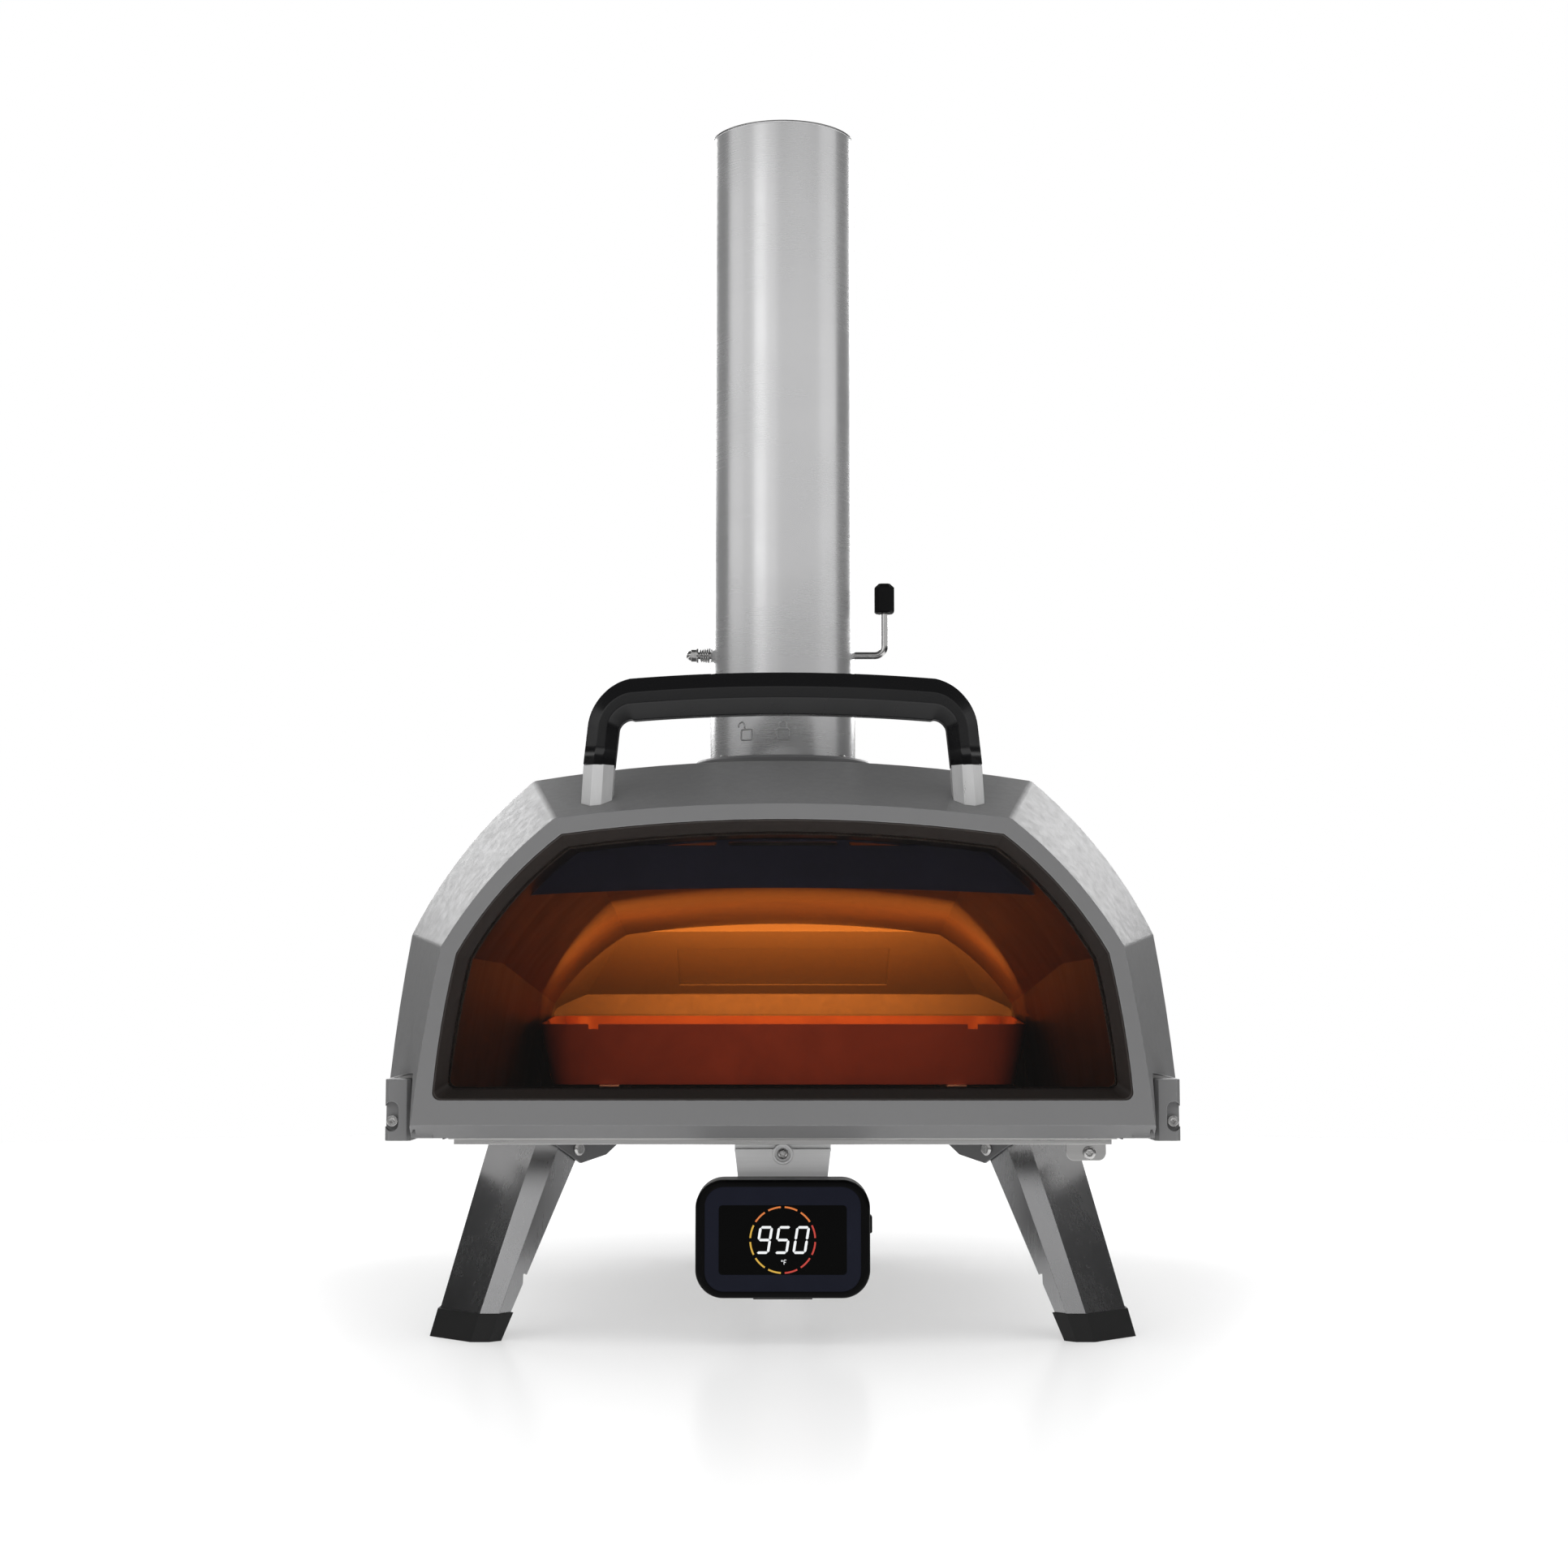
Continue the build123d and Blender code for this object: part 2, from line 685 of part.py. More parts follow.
def glass_gasket():
    start = glass_front + glass_thick
    inner = window_arch.inset(trim_narrowing, window_sill_z + trim_narrowing)
    ring = extrude_y(glass_outline(), start, start + gasket_thick)
    return ring - extrude_y(window_outline(inner), start - 1, start + gasket_thick + 1)


def glass_retainer():
    start = glass_front + glass_thick + gasket_thick
    outer = window_arch.inset(-retainer_lap, window_sill_z - retainer_lap)
    inner = window_arch.inset(trim_narrowing + 1, window_sill_z + trim_narrowing + 1)
    ring = extrude_y(window_outline(outer), start, start + 1.3)
    ring -= extrude_y(window_outline(inner), start - 1, start + 3)
    for x, z in boss_places():
        ring -= rod((x, start - 1, z), (x, start + 3, z), screw_radius + 0.3)
    return ring


def retainer_screws():
    start = glass_front + glass_thick + gasket_thick + 1.3
    parts = []
    for x, z in boss_places():
        shank = rod((x, face_wall + 4, z), (x, start, z), screw_radius)
        head = rod((x, start, z), (x, start + 0.9, z), 2.8)
        parts.append(shank + head)
    return parts


def hinge_pins():
    return both_sides(pin_solid(0.0))


def hinge_block():
    """The right-hand block beside the door, with a long counterbore in its front face."""
    outer_x = block_inner_x + block_width
    rear = shell_start - 1.5
    profile = [(block_front, block_bottom_z), (rear, block_bottom_z), (rear, block_top_z - block_step),
               (block_step_y + block_step, block_top_z - block_step), (block_step_y, block_top_z),
               (block_front, block_top_z)]
    body = extrude_x(profile, block_inner_x, outer_x)
    body = chamfer(body.edges().filter_by(Axis.Z).group_by(Axis.Y)[0], 2.5)
    slot_x = outer_x - 4.2
    slot_z = (block_bottom_z + block_top_z) / 2 - 4
    slot = Pos(slot_x, slot_z) * Rot(0, 0, 90) * SlotOverall(19, 9)
    body -= extrude_y(slot, block_front - 1, block_front + slot_deep)
    body -= rod((slot_x, block_front, slot_z - 3), (slot_x, rear - 5, slot_z - 3), block_screw_radius)
    return body - pin_solid(0.0)


def hinge_block_screw():
    """The socket screw deep in a hinge block's counterbore."""
    slot_x = block_inner_x + block_width - 4.2
    slot_z = (block_bottom_z + block_top_z) / 2 - 7
    head_y = block_front + slot_deep
    head = rod((slot_x, head_y - 3.5, slot_z), (slot_x, head_y, slot_z), 3.6)
    socket = extrude_y(Pos(slot_x, slot_z) * RegularPolygon(1.6, 6), head_y - 4, head_y - 1.5)
    shank_end = hinge_y - pin_radius - 0.8
    shank = rod((slot_x, head_y, slot_z), (slot_x, shank_end, slot_z), block_screw_radius)
    return head - socket + shank


def octagon(width, height, cut):
    """A rectangle with its four corners cut off."""
    face = Rectangle(width, height)
    return chamfer(face.vertices(), cut)


def handle_centre_y():
    return handle_front + bar_depth / 2


def handle_screw_x():
    return grip_half_x + post_lean / 2


def handle_screw_z():
    """The level underside of the bosses inside the cowl's roof, below the posts."""
    station = between(face_arch, cowl_arch, (handle_centre_y() - 6) / cowl_depth)
    drop = station.crown - station.shoulder[1]
    return station.crown - drop * (handle_screw_x() / station.shoulder[0]) ** 2 - 1.3 * cowl_wall


def handle_posts():
    """Two faceted metal posts that stand on the cowl's top."""
    y = handle_centre_y()
    low = Plane(origin=(grip_half_x + post_lean, y, face_crown - 25), z_dir=(0, 0, 1), x_dir=(1, 0, 0))
    high = Plane(origin=(grip_half_x, y, post_top_z), z_dir=(0, 0, 1), x_dir=(1, 0, 0))
    section = octagon(post_width, bar_depth, bar_bevel_depth)
    post = loft([low * section, high * section], ruled=True)
    post -= cowl_solid()
    x = handle_screw_x()
    post -= rod((x, y, handle_screw_z()), (x, y, post_top_z - 8), handle_screw_radius)
    return both_sides(post)


def grip_edge(side_x, middle_z, bend):
    """One edge of the grip's outline: up an arm, round the bend, along the bar and down again."""
    end_z = middle_z - grip_bow
    knee = (side_x - arm_lean, end_z - bend)
    end = (knee[0] - bend, end_z)
    bar = ThreePointArc(end, (0, middle_z), (-end[0], end_z))
    arm = Line((side_x, post_top_z), knee)
    turn = Spline(knee, end, tangents=[arm % 1, bar % 0])
    return [arm, turn, bar, mirror(turn, about=Plane.YZ), mirror(arm, about=Plane.YZ)]


def handle_grip():
    """The black bar: two upright arms and a gently arched middle, bevelled at front and back."""
    outer_x = grip_half_x + arm_width / 2
    inner_x = grip_half_x - arm_width / 2
    edges = grip_edge(outer_x, grip_top_z, grip_outer_bend)
    edges += grip_edge(inner_x, grip_bottom_z, grip_inner_bend)
    edges += both_sides(Line((inner_x, post_top_z), (outer_x, post_top_z)))
    grip = extrude_y(make_face(edges), handle_front, handle_front + bar_depth)
    for end in (0, -1):
        face = grip.faces().sort_by(Axis.Y)[end]
        rim = face.edges().filter_by(lambda edge: edge.center().Z > post_top_z + sliver)
        grip = chamfer(rim, bar_bevel, bar_bevel_depth, reference=face)
    return grip


def handle_screws():
    """One screw up into each post from inside the cowl."""
    y = handle_centre_y()
    x = handle_screw_x()
    z = handle_screw_z()
    head = rod((x, y, z - 3), (x, y, z), 4.0)
    shank = rod((x, y, z), (x, y, post_top_z - 8), handle_screw_radius)
    return both_sides(head + shank)


# ---- Chimney and damper ------------------------------------------------------------------
def chimney_collar():
    """The flange on the shell, and the spigot inside the pipe with its two bayonet slots."""
    centre = (0, flue_y, 0)
    outer = flue_radius - thin - spigot_play
    bottom = liner_arch.crown - 0.6
    flange = rod((0, flue_y, shell_arch.crown - 12), (0, flue_y, collar_top_z), collar_radius)
    flange = chamfer(flange.edges().group_by(Axis.Z)[-1], 1.5)
    flange -= tube_of(body_stations(shell_arch, shell_rear_arch, shell_start, body_rear))
    spigot = Pos(*centre) * Pos(0, 0, bottom) * extrude(Circle(outer), amount=spigot_top_z - bottom)
    bore = Pos(*centre) * Pos(0, 0, bottom - 1) * extrude(Circle(outer - thin), amount=spigot_top_z)
    collar = flange + spigot - bore
    slot = stud_radius + gap
    for side in (0, 180):
        for step in range(int(twist_angle // 2) + 1):
            collar -= bayonet_cut(side + step * 2, slot, stud_z + slot)
        collar -= bayonet_cut(side + twist_angle, slot, spigot_top_z + 1)
    return collar


def chimney_tube():
    """A plain pipe with two studs inside its foot that lock in the spigot's slots."""
    bottom = collar_top_z + gap
    top = bottom + chimney_height
    pipe = Solid.make_cylinder(flue_radius, top - bottom, Plane(origin=(0, flue_y, bottom)))
    pipe -= Solid.make_cylinder(flue_radius - thin, top - bottom + 2, Plane(origin=(0, flue_y, bottom - 1)))
    stud_end = flue_radius - 2 * thin - spigot_play - gap
    for side in (-1, 1):
        pipe += rod((side * stud_end, flue_y, stud_z), (side * (flue_radius - thin / 2), flue_y, stud_z), stud_radius)
    rod_hole = rod((-flue_radius - 2, flue_y, damper_z), (flue_radius + 2, flue_y, damper_z),
                   rod_radius + shaft_play)
    return pipe - rod_hole


def bayonet_cut(turn, half_slot, to_z):
    """One upright cut through the spigot's wall at an angle, from the foot of the slot up."""
    from_z = stud_z - half_slot
    tool = Pos(flue_radius - 2, 0, (from_z + to_z) / 2) * Box(8, 2 * half_slot, to_z - from_z)
    return Pos(0, flue_y, 0) * Rot(0, 0, turn) * tool


def damper_rod():
    """A rod through the flue, bent up outside into a crank."""
    left = -(flue_radius + 15)
    path = FilletPolyline((left, damper_z), (crank_x, damper_z), (crank_x, knob_bottom_z + 12),
                          radius=crank_bend)
    section = Plane(origin=(left, flue_y, damper_z), z_dir=(1, 0, 0)) * Circle(rod_radius)
    return sweep(section, path=at_y(flue_y) * path)


def damper_plate():
    """The flap, folded round the rod in its middle."""
    disc = rod((0, flue_y - plate_thick / 2, damper_z), (0, flue_y + plate_thick / 2, damper_z), plate_radius)
    sleeve = rod((-plate_radius + 6, flue_y, damper_z), (plate_radius - 6, flue_y, damper_z), rod_radius + 1.2)
    bore = rod((-plate_radius - 6, flue_y, damper_z), (plate_radius + 6, flue_y, damper_z), rod_radius)
    plate = disc + sleeve - bore
    for screw in damper_screws():
        plate -= screw
    return plate


def damper_knob():
    """A faceted knob on the crank's end."""
    centre_z = knob_bottom_z + knob_height / 2
    body = Pos(crank_x, flue_y, knob_bottom_z) * extrude(octagon(knob_width, knob_width, 3.2), amount=knob_height)
    body = chamfer(body.faces().sort_by(Axis.Z)[-1].edges(), 3.0)
    body = chamfer(body.faces().sort_by(Axis.Z)[0].edges(), 1.2)
    return body - rod((crank_x, flue_y, knob_bottom_z - 1), (crank_x, flue_y, centre_z + 1.5), rod_radius)


def damper_nut():
    """A dome nut and washer that hold the spring on the rod's other end."""
    start = -(flue_radius + 9)
    centre = (start, flue_y, damper_z)
    washer = rod(centre, (start - 1, flue_y, damper_z), 5.0)
    across = Plane(origin=(start - 1, flue_y, damper_z), z_dir=(-1, 0, 0))
    nut = extrude(across * RegularPolygon(4.2, 6), amount=4)
    dome = Pos(start - 5, flue_y, damper_z) * Sphere(3.4)
    body = washer + nut + dome
    return body - rod((0, flue_y, damper_z), (-(flue_radius + 15), flue_y, damper_z), rod_radius)


def damper_spring():
    """A conical spring between the pipe and the washer."""
    wire = 0.6
    turns = 4
    length = 8.4 - 2 * wire - 2 * gap
    start_x = -(flue_radius + gap + wire)
    helix = Helix(pitch=length / turns, height=length, radius=4.6, cone_angle=-8)
    begin = helix @ 0
    section = Plane(origin=begin, z_dir=helix % 0) * Circle(wire)
    coil = sweep(section, path=helix)
    return Pos(start_x, flue_y, damper_z) * Rot(0, -90, 0) * coil


def damper_screws():
    """Two small screws that clamp the flap's sleeve to the rod."""
    parts = []
    for x in (-22, 22):
        y = flue_y - rod_radius
        parts.append(rod((x, y, damper_z), (x, y - 2.6, damper_z), 2.2))
    return parts


# ---- Legs --------------------------------------------------------------------------------
def leg_section(drop, grow):
    """The leg's outer outline at a drop below the pivot: bevelled channel, in local x and y.

    Local x runs along the pivot bolt and local -y points outwards."""
    share = drop / pivot_z
    side = leg_taper * share
    web = leg_depth + drop * tan(radians(leg_splay)) + grow
    free = -leg_head + drop * tan(radians(leg_edge_splay)) - grow
    x0 = side - grow
    x1 = leg_width - side + grow
    bevel = leg_bevel - leg_bevel_taper * share
    return [(x0, -free), (x0, -(web - bevel)), (x0 + bevel, -web),
            (x1 - bevel, -web), (x1, -(web - bevel)), (x1, -free)]


def leg_block(top_drop, bottom_drop, grow):
    """A solid with the leg's outer outline between two heights."""
    faces = []
    for drop in (top_drop, bottom_drop):
        outline = make_face(Polyline(*leg_section(drop, grow), close=True))
        faces.append(Plane(origin=(0, 0, -drop)) * outline)
    return loft(faces, ruled=True)


def leg_inside(top_drop, bottom_drop):
    """The channel's hollow, open at the free edge."""
    faces = []
    for drop in (top_drop, bottom_drop):
        points = leg_section(drop, -leg_sheet)
        points[0] = (points[0][0], points[0][1] + 4 * leg_sheet)
        points[-1] = (points[-1][0], points[-1][1] + 4 * leg_sheet)
        faces.append(Plane(origin=(0, 0, -drop)) * make_face(Polyline(*points, close=True)))
    return loft(faces, ruled=True)


def leg_channel():
    """One leg in its own frame: pivot at the origin, bolt along x."""
    end_drop = pivot_z - leg_end_z
    leg = leg_block(-leg_head, end_drop, 0.0) - leg_inside(-leg_head - 1, end_drop + 1)
    head_block = block(-1, leg_width + 1, 0, 3 * leg_head, -1, 3 * leg_head)
    head_round = rod((-2, 0, 0), (leg_width + 2, 0, 0), leg_head)
    leg -= head_block - head_round
    leg -= rod((-2, 0, 0), (leg_width + 2, 0, 0), bolt_radius + shaft_play)
    for x in (0, leg_width):
        notch_drop = pivot_z - 38.0
        free = -leg_head + notch_drop * tan(radians(leg_edge_splay))
        leg -= Pos(x, -free, -notch_drop) * Box(20, 3, 7)
    return leg


def leg_foot():
    """The rubber shoe round a leg's end, flat on the ground."""
    top_drop = pivot_z - foot_height
    shoe = leg_block(top_drop, pivot_z, foot_wall)
    end_drop = pivot_z - leg_end_z
    return shoe - (leg_block(top_drop - 5, end_drop, 0.0) - leg_inside(top_drop - 5, end_drop))


def leg_bracket():
    """Two ears and a top plate that carry a leg's bolt, in the leg's frame."""
    top = bracket_top_z - pivot_z
    low = -(pivot_z - (bracket_top_z - ear_drop))
    x_in = -ear_sheet - 0.5
    x_out = leg_width + ear_sheet + 0.5
    plate = block(x_in, x_out, -22, 39, top, base_z - pivot_z)
    points = [(-22, top), (2.7, low), (24.8, low + 4.8), (39, top)]
    face = make_face(Polyline(*points, close=True))
    bracket = plate
    for x in (x_in, x_out - ear_sheet):
        bracket += extrude(Plane(origin=(x, 0, 0), x_dir=(0, 1, 0), z_dir=(1, 0, 0)) * face, amount=ear_sheet)
    return bracket - rod((x_in - 1, 0, 0), (x_out + 1, 0, 0), bolt_radius)


def leg_bolt():
    """The long pivot bolt with its head at the inner ear and a nut at the other."""
    x_in = -ear_sheet - 0.5
    x_out = leg_width + ear_sheet + 0.5
    shank = rod((x_in, 0, 0), (x_out + 5, 0, 0), bolt_radius)
    head = rod((x_in - 2.8, 0, 0), (x_in, 0, 0), 4.4)
    head = chamfer(head.edges().group_by(Axis.X)[0], 1.2)
    across = Plane(origin=(x_out, 0, 0), z_dir=(1, 0, 0))
    nut = extrude(across * RegularPolygon(4.6, 6), amount=4)
    return shank + head + nut


def place_leg(shape, which):
    """Put something made in the leg's frame at one of the three pivots."""
    if which == "rear":
        return Pos(leg_width / 2, rear_leg_y, pivot_z) * Rot(0, 0, 180) * shape
    right = Pos(pivot_x, pivot_y, pivot_z) * Rot(0, 0, 45) * shape
    return right if which == "front_right" else mirror(right, about=Plane.YZ)


leg_names = ("front_left", "front_right", "rear")


def leg_brackets():
    return [place_leg(leg_bracket(), name) for name in leg_names]


def leg_bolts():
    return [place_leg(leg_bolt(), name) for name in leg_names]


def accessory_bracket():
    """A small folded hanger under the right front edge."""
    x0 = pivot_x + 48
    plate = block(x0, x0 + 26, 58, 76, base_z - 1.5, base_z)
    tab = block(x0, x0 + 26, 58, 59.5, base_z - 13, base_z - 1.5)
    tab = fillet(tab.edges().filter_by(Axis.Y).group_by(Axis.Z)[0], 5)
    return plate + tab - rod((x0 + 15, 50, base_z - 8), (x0 + 15, 70, base_z - 8), 2.0)


# ---- Fuel tray, hatch --------------------------------------------------------------------
def tray_outline(inset, z, y0, y1):
    width = 2 * (tray_half_width - inset)
    face = RectangleRounded(width, y1 - y0 - inset, tray_corner - inset * 0.5)
    return Plane(origin=(0, (y0 + y1) / 2 + inset / 2, z)) * face


def tray_pan():
    """The fuel pan: tapered sides, a front rim with two notches and side rims that rise."""
    top = tray_rim_z + tray_side_rise
    rise = (top - tray_floor_z) / (tray_rim_z - tray_floor_z)
    outer = loft([tray_outline(tray_draft * rise, tray_floor_z, tray_front, tray_rear),
                  tray_outline(0, top, tray_front, tray_rear)], ruled=True)
    inner = loft([tray_outline(tray_draft * rise + sheet, tray_floor_z + sheet, tray_front, tray_rear - sheet),
                  tray_outline(sheet, top + sheet, tray_front, tray_rear - sheet)], ruled=True)
    pan = outer - inner
    half = tray_half_width + 1
    slope = [(tray_front - 1, tray_rim_z), (tray_front + 30, tray_rim_z), (tray_front + 160, top),
             (tray_front + 160, top + 2), (tray_front - 1, top + 2)]
    pan -= extrude_x(slope, -half, half)
    for x in (-155, 155):
        pan -= block(x - 4, x + 4, tray_front - 5, tray_front + 10, tray_rim_z - 4, top)
    return pan


def fuel_grate():
    """A flat grid that stands on folded feet in the pan."""
    half = tray_half_width - tray_draft - 6
    y0 = tray_front + 16
    y1 = body_rear - 10
    plate = block(-half, half, y0, y1, grate_z, grate_z + 1.5)
    pitch = 2 * (half - 14) / grate_bars
    for index in range(grate_bars):
        x = -half + 14 + pitch * (index + 0.5)
        for start, end in ((y0 + 14, (y0 + y1) / 2 - 5), ((y0 + y1) / 2 + 5, y1 - 14)):
            plate -= block(x - pitch * 0.28, x + pitch * 0.28, start, end, grate_z - 1, grate_z + 3)
    for x in (-half + 4, half - 4):
        plate += block(x - 0.8, x + 0.8, y0 + 20, y1 - 20, tray_floor_z + sheet, grate_z)
    return plate


def vent_cut(x, y0, y1):
    """One upright air slot."""
    slot = Pos(x, (face_bottom_z + face_top_z) / 2 - 14) * Rot(0, 0, 90) * SlotOverall(26, vent_slot)
    return extrude_y(slot, y0, y1)


def vent_xs():
    first = -(vent_slots - 1) / 2 * vent_pitch
    return [first + index * vent_pitch for index in range(vent_slots)]


def vent_half_width():
    return vent_slots / 2 * vent_pitch + 3


def tray_face():
    """The plate that closes the tail box, with the neck that carries the pan."""
    start = tail_rear + gap
    plate = extrude_y(Pos(0, (face_bottom_z + face_top_z) / 2)
                      * RectangleRounded(2 * (tray_half_width + 9), face_top_z - face_bottom_z, 8),
                      start, start + 2)
    neck = block(-150, 150, tray_rear, start, tray_floor_z + 6, tray_floor_z + 9)
    neck += block(-150, 150, tray_rear, tray_rear + 1.5, tray_floor_z + 3, tray_floor_z + 34)
    plate += neck
    for x in vent_xs():
        plate -= vent_cut(x, start - 1, start + 3)
    z = (face_bottom_z + face_top_z) / 2 - 14
    guide_y = start + 2
    guide_half = vent_half_width() + vent_travel + 6
    for side in (-1, 1):
        guide_z = z + side * 20
        guide = extrude_x([(guide_y, guide_z - 2), (guide_y + 2.4, guide_z - 2), (guide_y + 2.4, guide_z + 2),
                           (guide_y, guide_z + 2)], -guide_half, guide_half)
        plate += guide
    return plate


def vent_slide():
    """The air shutter that slides sideways between its guides."""
    start = tail_rear + gap + 2 + gap
    z = (face_bottom_z + face_top_z) / 2 - 14
    half = vent_half_width()
    plate = block(-half, half, start, start + 1.2, z - 17.6, z + 17.6)
    for x in vent_xs():
        plate -= vent_cut(x, start - 1, start + 3)
    knob = rod((half - 5.5, start + 1.2, z), (half - 5.5, start + 13, z), 4.0)
    return plate + chamfer(knob.edges().group_by(Axis.Y)[-1], 1.0)


def tray_handle():
    """A black bar on two stand-offs across the tray's face."""
    start = tail_rear + gap + 2
    z = face_top_z - 16
    bar = octagon(22, 22, 5)
    grip_y = tray_reach - 11
    grip = extrude(Plane(origin=(-112, grip_y, z), z_dir=(1, 0, 0), x_dir=(0, 1, 0)) * bar, amount=224)
    for x in (-101, 101):
        post = extrude(Plane(origin=(x, start, z), z_dir=(0, 1, 0), x_dir=(1, 0, 0)) * octagon(18, 18, 4),
                       amount=grip_y - 8 - start)
        grip += post
    return grip


def hatch_door():
    """The lid over the fuel hatch, with two knuckles round its pin."""
    middle = hatch_start + hatch_length / 2
    lid = slope_plane(middle, hatch_lift + 0.75) * Box(2 * hatch_half_width, hatch_length, 1.5)
    pad = slope_plane(middle, hatch_lift + 4.0) * Box(2 * hatch_half_width - 30, hatch_length - 30, 5)
    upwards = Axis((0, 0, 0), slope_plane(0, 0).z_dir)
    pad = chamfer(pad.faces().sort_by(upwards)[-1].edges(), 3)
    door = lid + pad
    for x in (-60, 60):
        knuckle = slope_plane(hatch_start - 6, hatch_pin_height).origin
        door += rod((x - 14, knuckle.Y, knuckle.Z), (x + 14, knuckle.Y, knuckle.Z), hatch_pin_radius + 2)
        arm = slope_plane(hatch_start, hatch_lift + 2.2) * Box(28, 7, 4.4)
        door += Pos(x, 0, 0) * arm
    return door - hatch_pin_solid(shaft_play)


def hatch_handle():
    """A faceted black bar on the lid."""
    middle = hatch_start + hatch_length / 2 + 6
    top = 7.5
    bar = slope_plane(middle, top + 26) * extrude(
        Plane(origin=(-62, 0, 0), z_dir=(1, 0, 0), x_dir=(0, 1, 0)) * octagon(18, 16, 4), amount=124)
    for x in (-52, 52):
        post = slope_plane(middle, top) * extrude(Pos(x, 0) * octagon(16, 14, 3.5), amount=19)
        bar += post
    return bar


# ---- Display -----------------------------------------------------------------------------
def display_mid_z():
    return (display_bottom_z + display_top_z) / 2


def display_body():
    height = display_top_z - display_bottom_z
    outline = Pos(0, display_mid_z()) * RectangleRounded(2 * display_half_width, height, display_corner)
    body = extrude_y(outline, display_front, display_back)
    return fillet(body.faces().sort_by(Axis.Y)[0].edges(), 3.0)


def display_housing():
    """The hollow case, with its recess for the front panel and its button hole."""
    wall = display_wall
    height = display_top_z - display_bottom_z
    core = Pos(0, display_mid_z()) * RectangleRounded(2 * (display_half_width - wall), height - 2 * wall,
                                                      display_corner - wall)
    case = display_body() - extrude_y(core, display_front + 4, display_back + 1)
    case -= display_panel_solid(0.05)
    case -= block(display_half_width - wall - 1, display_half_width + 1, 31, 41, button_z - 6, button_z + 6)
    for side in (-1, 1):
        case -= port_plug(side)
    return case


def display_panel_solid(play):
    outline = RectangleRounded(2 * (panel_half_width + play), 2 * (panel_half_height + play), panel_corner)
    return extrude_y(Pos(0, display_mid_z()) * outline, display_front - 0.2, display_front + panel_thick)


def display_panel():
    """The dark glass round the screen."""
    panel = display_panel_solid(0.0)
    panel = panel - block(-panel_half_width, panel_half_width, display_front - 1, display_front + panel_sink,
                          display_bottom_z, display_top_z)
    return panel - screen_solid(display_front - 1)


def screen_solid(front):
    middle = (screen_bottom_z + screen_top_z) / 2
    outline = Pos(0, middle) * RectangleRounded(2 * screen_half_width, screen_top_z - screen_bottom_z, 2.5)
    return extrude_y(outline, front, display_front + panel_thick)


def display_screen():
    return screen_solid(display_front + panel_sink + 0.1)


def display_back_cover():
    """The battery cover that closes the case's back, with its lower latch tab."""
    wall = display_wall
    height = display_top_z - display_bottom_z
    outline = Pos(0, display_mid_z()) * RectangleRounded(2 * (display_half_width - wall) - 0.2,
                                                         height - 2 * wall - 0.2, display_corner - wall)
    cover = extrude_y(outline, display_back - 2.0, display_back)
    for x in (-24, 24):
        cover += rod((x, display_back - 6, display_mid_z() + 12), (x, display_back - 2, display_mid_z() + 12), 8)
    return cover


def port_plug(side):
    x = side * display_half_width
    plug = block(min(x, x - side * 3), max(x, x - side * 3), 34, 44, display_bottom_z + 22, display_bottom_z + 29)
    return plug


def display_ports():
    """Rubber covers on the two side sockets and the latch tab below."""
    tab = block(-19, 19, 30, 44, display_bottom_z - 1.5, display_bottom_z)
    return [port_plug(-1), port_plug(1), tab]


def display_button():
    """The side button, which can be pressed inwards."""
    inner = display_half_width - display_wall - 1.2
    outer = display_half_width + button_travel + 0.6
    cap = block(inner, outer, 31 + gap, 41 - gap, button_z - 6 + gap, button_z + 6 - gap)
    return fillet(cap.edges().filter_by(Axis.Y).group_by(Axis.X)[-1], 1.2)


def display_bracket():
    """The steel hanger under the base, jogged back at its top, with a pocket for its screw."""
    half = bracket_half_width
    foot_half = half - 2.1
    low_z = display_bottom_z + 22
    jog_z = base_z - bracket_jog_drop
    face = make_face(Polyline((-half, jog_z), (half, jog_z), (foot_half, display_top_z),
                              (foot_half, low_z), (-foot_half, low_z), (-foot_half, display_top_z), close=True))
    plate = extrude_y(face, bracket_y, bracket_y + bracket_sheet)
    back_y = bracket_y + bracket_jog
    plate += block(-half, half, bracket_y, back_y, jog_z - bracket_sheet, jog_z)
    plate += block(-half, half, back_y - bracket_sheet, back_y, jog_z - bracket_sheet, base_z)
    plate += block(-half, half, back_y, bracket_y + 22, base_z - bracket_sheet, base_z)
    z = base_z - bracket_screw_drop
    plate += rod((0, bracket_y - 0.8, z), (0, back_y, z), pocket_radius + bracket_sheet)
    plate -= rod((0, bracket_y - 1, z), (0, back_y - bracket_sheet, z), pocket_radius)
    return plate


# ---- Fasteners ---------------------------------------------------------------------------
def pan_head(x, y, z, direction, radius=4.0, height=2.2, shank=0.0):
    """A round screw head on a surface, facing along direction, with a hidden shank."""
    head = extrude(Plane(origin=(x, y, z), z_dir=direction) * Circle(radius), amount=height)
    away = Vector(*direction).normalized()
    rim = head.edges().filter_by(GeomType.CIRCLE).sort_by(lambda e: e.center().dot(away))[-1]
    head = chamfer(rim, height * 0.35)
    recess_at = Vector(x, y, z) + away * (height - 1.0)
    recess = extrude(Plane(origin=recess_at, z_dir=direction) * RegularPolygon(radius * 0.42, 6), amount=2)
    return head - recess


def bracket_screws():
    """The screws of the display's hanger and of the small hanger beside it."""
    pocket_y = bracket_y + bracket_jog - bracket_sheet
    parts = [pan_head(0, pocket_y, base_z - bracket_screw_drop, (0, -1, 0), 3.6, 2.4)]
    parts.append(pan_head(pivot_x + 63, 58, base_z - 8, (0, -1, 0), 4.2, 3.0))
    return parts


